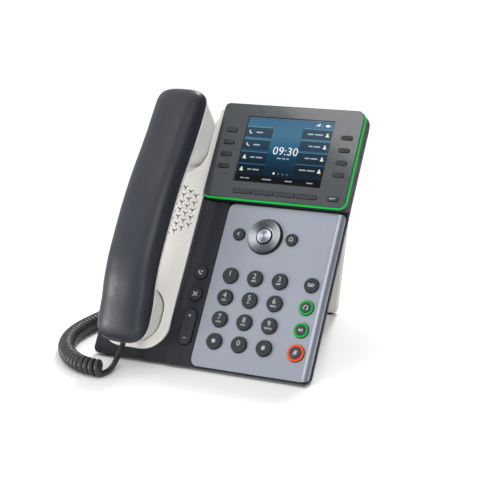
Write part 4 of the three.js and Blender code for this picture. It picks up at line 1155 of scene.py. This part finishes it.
letters = {"key_2": "ABC", "key_3": "DEF", "key_4": "GHI", "key_5": "JKL", "key_6": "MNO", "key_7": "PQRS", "key_8": "TUV", "key_9": "WXYZ"}
LZ0, LZ1 = 1.9, 2.235
for name, (x, y, r) in dial.items():
    k = Shape()
    revolve(k, x, y, cap_profile(r, 2.2), 72)
    ch = {"key_star": "*", "key_hash": "#"}.get(name, name[-1])
    if name == "key_star":
        for j in range(3):
            a = math.pi / 2 + j * math.pi / 3
            ribbon(k, [(x - 1.75 * math.cos(a), y - 1.75 * math.sin(a)), (x + 1.75 * math.cos(a), y + 1.75 * math.sin(a))], 0.62, LZ0, LZ1 + 0.004 * j, 1)
    elif name == "key_hash":
        text(k, "#", x, y, 3.3, LZ0, LZ1, 1, 1, 0.02)
    elif name == "key_0":
        text(k, "0", x, y + 0.9, 4.0, LZ0, LZ1, 1, 1, -0.012)
    elif name == "key_1":
        text(k, "1", x, y + 1.3, 4.0, LZ0, LZ1, 1, 1, -0.012)
    else:
        text(k, ch, x, y + 1.5, 4.0, LZ0, LZ1, 1, 1, -0.012)
        text(k, letters[name], x, y - 2.35, 1.4, LZ0, LZ1, 1, 1.1, 0.015)
    make(name + "_cap", k, [keycap, legend], name + "_body", node=name, angle=45, weighted=False)


def arc_pts(cx, cy, r, a0, a1, n=14):
    return [(cx + r * math.cos(math.radians(a0 + (a1 - a0) * i / n)), cy + r * math.sin(math.radians(a0 + (a1 - a0) * i / n))) for i in range(n + 1)]


def icon(shape, name, x, y, z0, z1, m):
    if name == "back_key":
        ribbon(shape, [(x + 0.75, y + 1.25), (x - 0.75, y), (x + 0.75, y - 1.25)], 0.5, z0, z1, m)
    elif name == "home_key":
        ribbon(shape, [(x - 1.6, y + 0.1), (x, y + 1.6), (x + 1.6, y + 0.1)], 0.45, z0, z1, m)
        ribbon(shape, [(x - 1.15, y + 0.1), (x - 1.15, y - 1.35), (x + 1.15, y - 1.35), (x + 1.15, y + 0.1)], 0.42, z0, z1 + 0.003, m)
    elif name == "voicemail_key":
        ribbon(shape, arc_pts(x - 1.35, y, 0.95, 0, 350, 18)[:-1], 0.42, z0, z1, m, closed=True)
        ribbon(shape, arc_pts(x + 1.35, y, 0.95, 0, 350, 18)[:-1], 0.42, z0, z1, m, closed=True)
        ribbon(shape, [(x - 1.35, y - 0.98), (x + 1.35, y - 0.98)], 0.42, z0, z1 + 0.003, m)
    elif name == "headset_key":
        ribbon(shape, arc_pts(x, y + 0.1, 1.5, 200, -20, 18), 0.42, z0, z1, m)
        for s in (-1, 1):
            prism(shape, rect(x + s * 1.45 - 0.38, y - 1.35, x + s * 1.45 + 0.38, y - 0.15, 0.25, 3), z0, z1 + 0.003, m)
        ribbon(shape, [(x + 1.45, y - 1.3), (x + 1.1, y - 1.8), (x + 0.2, y - 1.9)], 0.34, z0, z1 + 0.002, m)
    elif name == "speaker_key":
        shape.rings([[(a, b, z) for a, b in ((x - 1.7, y - 0.5), (x - 1.0, y - 0.5), (x - 0.1, y - 1.3), (x - 0.1, y + 1.3), (x - 1.0, y + 0.5), (x - 1.7, y + 0.5))] for z in (z0, z1)], m)
        ribbon(shape, arc_pts(x - 0.1, y, 0.95, -48, 48, 8), 0.36, z0, z1, m)
        ribbon(shape, arc_pts(x - 0.1, y, 1.75, -48, 48, 10), 0.36, z0, z1, m)
    elif name == "mute_key":
        prism(shape, rect(x - 0.65, y - 0.6, x + 0.65, y + 1.8, 0.62, 5), z0, z1, m)
        ribbon(shape, arc_pts(x, y + 0.25, 1.3, 180, 360, 12), 0.36, z0, z1, m)
        ribbon(shape, [(x, y - 1.0), (x, y - 1.9)], 0.36, z0, z1 + 0.002, m)
        ribbon(shape, [(x - 1.75, y - 1.7), (x + 1.75, y + 1.9)], 0.42, z0, z1 + 0.006, m)
    elif name == "transfer_key":
        phone_icon(shape, x - 0.3, y - 0.15, 2.6, z0, z1, m)
        prism(shape, circle(x + 1.15, y + 0.95, 0.6, 20), z0, z1, m)
    elif name == "hold_key":
        for s in (-1, 1):
            ribbon(shape, arc_pts(x + s * 2.3, y, 1.75, 90 + s * 90 - 48, 90 + s * 90 + 48, 10), 0.5, z0, z1, m)
            for t in (-1, 1):
                prism(shape, rect(x + s * 1.45 - 0.42, y + t * 1.25 - 0.35, x + s * 1.45 + 0.42, y + t * 1.25 + 0.35, 0.2, 3), z0, z1 + 0.003, m)
        prism(shape, circle(x, y, 0.3, 16), z0, z1 + 0.002, m)


for name in ("back_key", "home_key", "voicemail_key"):
    x, y, r = small[name]
    k = Shape()
    revolve(k, x, y, cap_profile(r, 2.0), 64)
    icon(k, name, x, y, 1.7, 2.04, 1)
    make(name + "_cap", k, [keycap, legend], name + "_body", node=name, angle=45, weighted=False)
for name, y in (("transfer_key", 16.6), ("hold_key", -0.5)):
    k = Shape()
    revolve(k, LEFT_X, y, cap_profile(5.0, 1.8, 0.9, -2.5), 64)
    icon(k, name, LEFT_X, y, 1.5, 1.84, 1)
    make(name + "_cap", k, [keycap, legend], name + "_body", node=name, angle=45, weighted=False)
lit_cap = plastic("lit_key_plastic", srgb("#2a2b31"), 0.45, 0.45, 0.05, 0.15, 0.25)
for name, ring_m in (("headset_key", green), ("speaker_key", green), ("mute_key", orange)):
    x, y, r = small[name]
    ri = r - 1.45
    k = Shape()
    # Light ring: turned section round a dark cap, both on one flange.
    prof = [(0, -3.6), (r + 0.9, -3.6), (r + 0.9, -2.3), (r, -2.3), (r, 1.0), (r - 0.12, 1.45), (r - 0.45, 1.8), (r - 0.75, 1.9), (ri + 0.25, 1.85), (ri, 1.6),
            (ri, 0.9), (ri - 0.18, 0.9), (ri - 0.18, 1.65), (ri - 0.32, 1.88), (ri - 0.6, 2.0), ((ri - 0.2) * 0.4, 1.92), (0, 1.9)]
    revolve(k, x, y, prof, 72, mats=[1, 1, 1, 0, 0, 0, 0, 0, 0, 1, 1, 1, 1, 1, 1, 1])
    icon(k, name, x, y, 1.7, 2.03, 2)
    make(name + "_cap", k, [ring_m, lit_cap, legend], name + "_body", node=name, angle=45, weighted=False)

# Volume rocker.
k = Shape()


def rocker_map(u, v, n):
    if n > 0.5:
        t = (v - ROCK[1]) / 13.75
        n += 0.25 * t * t - 0.18
    return (u, v, n)


panel(k, dense(rect(ROCK[0] - 5.9, ROCK[1] - 14.65, ROCK[0] + 5.9, ROCK[1] + 14.65, 5.85, 12), 3), (), -3.3, 1.2, 0.1, 0.1)
panel(k, dense(rect(ROCK[0] - 5, ROCK[1] - 13.75, ROCK[0] + 5, ROCK[1] + 13.75, 4.95, 16), 2), (), 1.8, 5.0, 0.8, 0.1, rocker_map, grid=1.6, nf=6)
px, py = ROCK[0], ROCK[1] + 8.6
ribbon(k, [(px - 1.25, py), (px + 1.25, py)], 0.42, 1.5, 1.79, 1)
ribbon(k, [(px, py - 1.25), (px, py + 1.25)], 0.42, 1.5, 1.795, 1)
ribbon(k, [(px - 1.25, ROCK[1] - 8.8), (px + 1.25, ROCK[1] - 8.8)], 0.42, 1.5, 1.79, 1)
make("volume_rocker_cap", k, [keycap, legend], "rocker", node="volume_rocker", angle=42)

# Navigation ring: a black skirt with a spun metal face, and the select button.
k = Shape()
revolve(k, *NAV, [(6.35, -4.5), (14.8, -4.5), (14.8, -3.1), (13.6, -3.0), (13.6, 0.2), (13.5, 0.9), (13.15, 2.2), (12.95, 2.45), (12.85, 2.75),
                  (12.6, 2.95), (12.2, 3.0), (9.8, 2.78), (7.4, 2.62), (6.85, 2.55), (6.55, 2.35), (6.5, 2.0), (6.35, 1.9)], 96,
        mats=[1, 1, 1, 1, 1, 1, 1, 1, 0, 0, 0, 0, 0, 0, 1, 1, 1])
for a in range(4):
    t = math.pi / 2 * a
    cx, cy = NAV[0] + 10.3 * math.cos(t), NAV[1] + 10.3 * math.sin(t)
    d = Vector((math.cos(t), math.sin(t)))
    m = Vector((-d.y, d.x))
    tri3 = [Vector((cx, cy)) + d * 0.55, Vector((cx, cy)) - d * 0.35 + m * 0.75, Vector((cx, cy)) - d * 0.35 - m * 0.75]
    k.rings([[(q.x, q.y, z) for q in tri3] for z in (2.6, 2.86)], 2)
mark = plastic("nav_mark", srgb("#6f7379"), 0.5, 0.4, 0.05, 0.05, 0.1)
make("nav_ring_face", k, [steel, black, mark], "nav", node="nav_ring", angle=30, weighted=False)
k = Shape()
revolve(k, *NAV, [(0, -4.5), (7.5, -4.5), (7.5, -3.3), (5.9, -3.2), (5.9, 2.4), (5.8, 2.75), (5.5, 3.0), (5.1, 3.08), (3.6, 3.2), (1.8, 3.28), (0, 3.3)], 96,
        mats=[1, 1, 1, 1, 1, 0, 0, 0, 0, 0])
make("select_button_cap", k, [steel2, black], "select_button_body", node="select_button", angle=40, weighted=False)

# ============================================================ handset
HX = -56.8
y_lo, y_hi = -49.4, 154.0
seam_y = [-60, -49.4, -44, -36, -22, -4, 15, 45, 75, 100, 122, 138, 146, 154, 165]
seam_z = [20.3, 20.2, 19.8, 19.8, 21.2, 26.0, 28.6, 29.2, 27.6, 24.2, 21.8, 21.2, 21.2, 21.4, 21.4]


def hermite(xs, ys, x):
    """Smooth curve through points with no overshoot."""
    i = int(np.clip(np.searchsorted(xs, x) - 1, 0, len(xs) - 2))
    d = [(ys[k + 1] - ys[k]) / (xs[k + 1] - xs[k]) for k in range(len(xs) - 1)]

    def slope(k):
        if k == 0:
            return d[0]
        if k == len(xs) - 1:
            return d[-1]
        return 0.0 if d[k - 1] * d[k] <= 0 else 2 * d[k - 1] * d[k] / (d[k - 1] + d[k])

    h = xs[i + 1] - xs[i]
    t = (x - xs[i]) / h
    return ((2 * t ** 3 - 3 * t ** 2 + 1) * ys[i] + (t ** 3 - 2 * t ** 2 + t) * h * slope(i)
            + (-2 * t ** 3 + 3 * t ** 2) * ys[i + 1] + (t ** 3 - t ** 2) * h * slope(i + 1))


def seam(y):
    return hermite(seam_y, seam_z, y)


def closing(d, r, p):
    t = max(0.0, 1 - d / r)
    return max(1e-4, 1 - t ** p) ** (1 / p)


def half_w(y):
    return 20.6 * closing(y - y_lo, 21, 3.2) * closing(y_hi - y, 15, 3.3)


def crown(y):
    return 14.5 * closing(y - y_lo, 36, 2.75) * closing(y_hi - y, 36, 2.8)


ends = [0.03, 0.12, 0.3, 0.6, 1.0, 1.6, 2.4, 3.5, 5, 7, 9.5, 12.5, 16, 20]
stations = [y_lo + e for e in ends] + list(np.linspace(y_lo + 25, y_hi - 25, 34)) + [y_hi - e for e in reversed(ends)]
hs = Shape()
rings = []
NA = 44
for y in stations:
    w, h, s = half_w(y), crown(y), seam(y) + 0.12
    ring = []
    for k in range(NA + 1):
        a = math.pi * k / NA
        cx_, sz_ = math.cos(a), math.sin(a)
        ring.append((HX + w * math.copysign(abs(cx_) ** (2 / 2.75), cx_), y, s + h * abs(sz_) ** (2 / 2.75)))
    # A short lip turned under, so the shell's rim has a thickness.
    ring += [(HX - w + min(1.3, w * 0.4), y, s - 0.02), (HX + w - min(1.3, w * 0.4), y, s - 0.02)]
    rings.append(ring)
hs.rings(rings)
make("handset_back_shell", hs, [slate], "handset", node="handset_back", angle=50, weighted=False, bake=True)

# Front half: grip, ear cup and mouth cup joined into one soft form.
grip = Shape()
rings = []
for y in stations:
    w, s = half_w(y) - 0.35, seam(y) - 0.12
    dpt = 9.4 * closing(y - y_lo, 26, 2.4) * closing(y_hi - y, 24, 2.4)
    ring = []
    for k in range(33):
        a = math.pi + math.pi * k / 32
        cx_, sz_ = math.cos(a), math.sin(a)
        ring.append((HX + w * math.copysign(abs(cx_) ** (2 / 2.7), cx_), y, s - dpt * abs(sz_) ** (2 / 2.7)))
    rings.append(ring)
grip.rings(rings)


def cup(shape, levels):
    rings = []
    for (y0, y1, half, r, ru, z) in levels:
        rings.append([(x, y, z) for x, y in rounded([(HX - half, y0, r), (HX + half, y0, r), (HX + half, y1, ru), (HX - half, y1, ru)], 10)])
    shape.rings(rings)


cups = Shape()
cup(cups, [(106, 136.6, 15.3, 13.5, 4.6, -7.55), (104.2, 138.2, 17.4, 15, 5.6, -7.5), (102.5, 139.5, 19.2, 16, 6.4, -7.0), (101.7, 140.1, 20.0, 16.5, 7, -6.2),
           (100.7, 142.4, 20.25, 16.6, 7.4, -1), (99.0, 146.6, 20.35, 16.8, 8.2, 8.5), (97, 151.4, 20.5, 17, 9, 20.0), (97, 151.4, 20.4, 17, 9, 20.9)])
cup2 = Shape()
cup(cup2, [(-36, -7, 11.5, 11.3, 11.3, -7.55), (-37.8, -5, 13.3, 13, 13, -7.5), (-39.2, -3.4, 14.9, 14.2, 14.2, -7.0), (-40, -2.4, 15.9, 15.2, 15.2, -6.2),
           (-41.9, -1.4, 16.9, 15.4, 15.4, 0), (-44.6, 0.1, 18.3, 15.7, 15.7, 8), (-48.4, 2.0, 20.1, 16, 16, 18.0), (-48.4, 2.0, 20.0, 16, 16, 19.0)])


def mesh_of(name, shape):
    me = bpy.data.meshes.new(name)
    me.from_pydata([(x / 1000, y / 1000, z / 1000) for x, y, z in shape.v], [], shape.f)
    bm = bmesh.new()
    bm.from_mesh(me)
    bmesh.ops.remove_doubles(bm, verts=bm.verts, dist=2e-7)
    bmesh.ops.recalc_face_normals(bm, faces=bm.faces)
    bm.to_mesh(me)
    bm.free()
    ob = bpy.data.objects.new(name, me)
    bpy.context.scene.collection.objects.link(ob)
    return ob


def baked(ob):
    """The object's mesh with its modifiers applied."""
    bpy.context.view_layer.update()
    me = bpy.data.meshes.new_from_object(ob.evaluated_get(bpy.context.evaluated_depsgraph_get()))
    return me


parts = [mesh_of("g", grip), mesh_of("c1", cups), mesh_of("c2", cup2)]
base_ob = parts[0]
for other in parts[1:]:
    m = base_ob.modifiers.new("join", "BOOLEAN")
    m.operation, m.solver, m.object = "UNION", "EXACT", other
joined = baked(base_ob)
for ob in parts:
    bpy.data.objects.remove(ob)
hf = bpy.data.objects.new("handset_front_shell", joined)
bpy.context.scene.collection.objects.link(hf)
rm = hf.modifiers.new("skin", "REMESH")
rm.mode, rm.voxel_size, rm.use_smooth_shade = "VOXEL", 0.0009, True
sm = hf.modifiers.new("soften", "SMOOTH")
sm.factor, sm.iterations = 0.5, 7
me = baked(hf)
bpy.data.objects.remove(hf)
hf = bpy.data.objects.new("handset_front_shell", me)
bpy.context.scene.collection.objects.link(hf)
me.materials.clear()
me.materials.append(offwhite)
for p_ in me.polygons:
    p_.use_smooth = True
me.transform(FACE)
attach(hf, "handset")
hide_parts("handset_front")
# Sound holes of the receiver and the microphone.
k = Shape()
spots = [(HX, 121)] + [(HX + 5 * math.cos(a * math.pi / 3), 121 + 5 * math.sin(a * math.pi / 3)) for a in range(6)] + [(HX, -21)]
for cx_, cy_ in spots:
    revolve(k, cx_, cy_, [(0, -7.0), (1.2, -7.0), (1.2, -7.5), (0.95, -7.56), (0.8, -7.3), (0, -7.3)][::-1], 24)
make("handset_sound_holes", k, [black], "handset", weighted=False)

# Plugs of the lead.
def plug(name, x, y0, y1, half_x, z0, z1, body, node, along="y"):
    k = Shape()
    if along == "y":
        f = lambda u, v, n: (u, v, n)
        panel(k, rect(x - half_x, y0, x + half_x, y1, 0.5, 3), (), z1, z1 - z0, 0.4, 0.1, f)
        for j in range(4):
            prism(k, rect(x - 2.2 + j * 1.27, y1 - 3.0, x - 1.7 + j * 1.27, y1 - 0.3, 0), z1 - 0.05, z1 + 0.06, 1)
    else:
        yc = (y0 + y1) / 2
        f = lambda u, v, n: (u, v, n)
        panel(k, rect(x - half_x, y0, x + half_x, y1, 0.6, 3), (), z1, z1 - z0, 0.5, 0.1, f)
        for j in range(4):
            prism(k, rect(x - 2.2 + j * 1.27, y1 - 0.05, x - 1.7 + j * 1.27, y1 + 0.05, 0), z1 - 3, z1 - 0.3, 1)
    make(name, k, [clear, gold], body, node=node, weighted=False)


plug("handset_plug_body", -59, -46.0, -37.5, 3.8, 8, 14, "handset", "handset_plug")
plug("base_plug_body", -66, -12.2, -5.8, 3.7, -41, -25, "base", "base_plug", "z")

# ============================================================ network sockets
y1n = FACE_Y + 34 * S - 6.7
k = Shape()
net_loop = rect(14.0, 19.5, 50.0, 34.0, 0.6, 3)
sock = [rect(cx - 5.95, 22.1, cx + 5.95, 30.7, 0.3, 2) for cx in (23.4, 40.6)]
panel(k, net_loop, sock, y1n, 11.5, 0.4, 0.2, lambda u, v, n: (u, n, v), wall=0)
panel(k, net_loop, (), y1n - 11.55, 3.4, 0.2, 0.2, lambda u, v, n: (u, n, v))
for cx in (23.4, 40.6):
    for j in range(8):
        xx = cx - 3.57 + j * 1.02
        k.rings([[(xx - 0.2, y1n - 1.5 - 7 * t, 29.9 - 2.2 * t), (xx + 0.2, y1n - 1.5 - 7 * t, 29.9 - 2.2 * t), (xx + 0.2, y1n - 1.5 - 7 * t, 30.2 - 2.2 * t), (xx - 0.2, y1n - 1.5 - 7 * t, 30.2 - 2.2 * t)] for t in (0, 1)], 1)
make("network_sockets", k, [black, gold], "base", node="network_jack", matrix=IDENT, weighted=False)

# ============================================================ stand
hinge = world(0, HY, HZ) * 1000
FOOT_Y = 98.405
run, drop = FOOT_Y - hinge.y, hinge.z - 2.0
LEG = math.hypot(run, drop)
ANG = math.atan2(-drop, run)
STAND = Matrix.Translation(hinge / 1000) @ Matrix.Rotation(ANG, 4, "X")


def half(s):
    return 73.4 + (36 - 73.4) * s / LEG


def stand_map(u, v, n):
    lim = (hinge.z + n * math.cos(ANG) - 2.1) / (-math.sin(ANG))
    return (u, min(v, lim), n)


st = Shape()
long = LEG + 8
leg_loop = dense(rounded([(-half(long), long, 3), (-half(10), 10, 4), (-56, 10, 2), (-56, 1.5, 0.5), (56, 1.5, 0.5), (56, 10, 2), (half(10), 10, 4), (half(long), long, 3)][::-1], 6), 5)
if sum(a[0] * b[1] - b[0] * a[1] for a, b in zip(leg_loop, leg_loop[1:] + leg_loop[:1])) < 0:
    leg_loop = leg_loop[::-1]
win = rect(-24, 66, 24, 98, 5, 8)
hollow = dense(rounded([(-half(14) + 3.4, 14, 3), (half(14) - 3.4, 14, 3), (half(LEG - 9) - 3.4, LEG - 9, 3), (-half(LEG - 9) + 3.4, LEG - 9, 3)], 6), 5)
if sum(a[0] * b[1] - b[0] * a[1] for a, b in zip(hollow, hollow[1:] + hollow[:1])) < 0:
    hollow = hollow[::-1]
panel(st, leg_loop, [hollow], 3.75, 4.9, 0.9, 0.5, stand_map)
# Front skin with rounded edges, facing the phone.
front_skin = Shape()
panel(front_skin, leg_loop, [win], 3.75, 2.59, 0.9, 0.7, lambda u, v, n: stand_map(u, v, -n))
st.add(front_skin.v, front_skin.f, 0)
panel(st, rect(-26.5, 63.5, 26.5, 100.5, 6, 8), [win], 3.4, 4.5, 0.5, 0.4)
for x in (-44, 0, 44):
    if x == 0:
        loop_ = rect(-0.9, 16, 0.9, 62, 0.3, 2)
    else:
        loop_ = rect(x - 0.9, 16, x + 0.9, 92 if abs(x) < 40 else 60, 0.3, 2)
    panel(st, loop_, (), 2.2, 3.3, 0.3, 0.1)
panel(st, rect(-52, 38.1, 52, 39.9, 0.3, 2), (), 2.2, 3.3, 0.3, 0.1)
# Hinge barrel and pins along x.
bar_rings = []
for x, r in ((-64.5, 2.3), (-64.1, 2.75), (-58.2, 2.75), (-58.2, 3.6), (-57.7, 4.1), (57.7, 4.1), (58.2, 3.6), (58.2, 2.75), (64.1, 2.75), (64.5, 2.3)):
    bar_rings.append([(x, r * math.cos(2 * math.pi * i / 40), r * math.sin(2 * math.pi * i / 40)) for i in range(40)])
st.rings(bar_rings)
# The stand's off-white is painted darker than the cradle cover's, as shade: it faces the sun and sits behind the body.
make("stand_leg", st, [plastic("stand_plastic_shaded", srgb("#d2cfc9"), 0.5, 0.6, 0.015, 0.03, 0.18, spec=0.3)], "stand", node="desk_stand", matrix=STAND, angle=8, weighted=False, bake=True)


def foot(name, x0, y0, x1, y1, z1, body, node):
    k = Shape()
    panel(k, rect(x0, y0, x1, y1, 1.6, 6), (), z1, z1 - 0.02, 0.4, 0.1)
    n = int((x1 - x0) / 5)
    make(name, k, [rubber], body, node=node, matrix=IDENT)


foot("stand_rubber_foot", -32, FOOT_Y - 3.6, 32, FOOT_Y + 3.6, 1.95, "stand", "stand_foot")
bf = FACE_Y + 1.86 - 29.8
foot("front_rubber_foot", -76, bf + 8, 76, bf + 18, 2.3, "base", "front_foot")

# ============================================================ carried-over nodes
for node, material in (("main_board", board), ("loudspeaker", black), ("hook_plunger", offwhite), ("receiver_capsule", black), ("microphone_capsule", black)):
    ob = frame["nodes"][node]
    ob.data.materials.clear()
    ob.data.materials.append(material)

# ============================================================ floor and light
floor_mesh = bpy.data.meshes.new("floor")
floor_mesh.from_pydata([(-60, -60, 0), (60, -60, 0), (60, 60, 0), (-60, 60, 0)], [], [(0, 1, 2, 3)])
floor = bpy.data.objects.new("floor", floor_mesh)
bpy.context.scene.collection.objects.link(floor)
fm = Mat("floor_pale")
fm.set("Base Color", fm.ramp(fm.noise(3.0), [(0.3, (0.90, 0.90, 0.90)), (0.7, (0.93, 0.93, 0.93))]))
fm.set("Roughness", 0.9)
fm.set("Specular IOR Level", 0.1)
floor_mesh.materials.append(fm.m)
floor.location.z = -0.0002
floor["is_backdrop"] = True

# Bright overhead and on the left, darker towards the right.
w = bpy.data.worlds.new("studio")
w.use_nodes = True
wt = w.node_tree
direction = wt.nodes.new("ShaderNodeTexCoord")
side = wt.nodes.new("ShaderNodeVectorMath")
side.operation = "DOT_PRODUCT"
side.inputs[1].default_value = (-0.58, -0.05, 0.64)
wt.links.new(direction.outputs["Generated"], side.inputs[0])
lift = wt.nodes.new("ShaderNodeMath")
lift.operation, lift.use_clamp = "ADD", False
lift.inputs[1].default_value = 0.20
wt.links.new(side.outputs["Value"], lift.inputs[0])
least = wt.nodes.new("ShaderNodeMath")
least.operation = "MAXIMUM"
least.inputs[1].default_value = 0.02
wt.links.new(lift.outputs[0], least.inputs[0])
wt.nodes["Background"].inputs[0].default_value = (1.0, 1.0, 1.0, 1)
wt.links.new(least.outputs[0], wt.nodes["Background"].inputs[1])
bpy.context.scene.world = w


def area(name, loc, target, size, power, color=(1, 1, 1), sy_=None):
    li = bpy.data.lights.new(name, "AREA")
    li.energy, li.size, li.color = power, size, color
    if sy_:
        li.shape, li.size_y = "RECTANGLE", sy_
    ob = bpy.data.objects.new(name, li)
    bpy.context.scene.collection.objects.link(ob)
    ob.location = loc
    ob.rotation_euler = (Vector(target) - Vector(loc)).to_track_quat("-Z", "Y").to_euler()
    return ob


sun_data = bpy.data.lights.new("sun", "SUN")
sun_data.energy, sun_data.angle = 2.15, math.radians(12)
sun = bpy.data.objects.new("sun", sun_data)
bpy.context.scene.collection.objects.link(sun)
sun.rotation_euler = Vector((0.04, -0.66, -0.75)).to_track_quat("-Z", "Y").to_euler()
area("low_left", (-0.62, -0.62, 0.12), (-0.05, -0.05, 0.07), 0.30, 4.4)
area("low_right", (0.80, -1.05, 0.12), (0.0, -0.05, 0.08), 0.5, 3.6)
area("front_strip", (0.68, -0.80, 0.96), (0.05, -0.03, 0.08), 0.60, 5)

# A bright card whose reflection lies across the upper right of the display.
CARD = 1.2
NRM = Vector((0, -S, C))


def mirrored(x, y):
    """Where the card's plane is seen in the display at a point of its face."""
    p = world(x, y, 6)
    d = (p - cam.location).normalized()
    return p + (d - NRM * 2 * d.dot(NRM)) * CARD


ca, cb, cc = mirrored(20.7, 151.0), mirrored(85.5, 113.0), mirrored(88, 152)
along = (cb - ca).normalized()
across = cc - ca
across = (across - along * across.dot(along)).normalized()
centre = (ca + cb) / 2 + across * 0.16
card_data = bpy.data.lights.new("card", "AREA")
card_data.shape, card_data.size, card_data.size_y, card_data.energy = "RECTANGLE", 0.36, 0.32, 1.1
card = bpy.data.objects.new("card", card_data)
bpy.context.scene.collection.objects.link(card)
facing = (world(40, 120, 6) - centre).normalized()
up = across - facing * across.dot(facing)
up.normalize()
right = up.cross(-facing).normalized()
card.matrix_world = Matrix.Translation(centre) @ Matrix((right, up, -facing)).transposed().to_4x4()

bpy.context.scene.view_settings.view_transform = "Standard"
bpy.context.scene.view_settings.look = "None"

lo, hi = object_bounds()
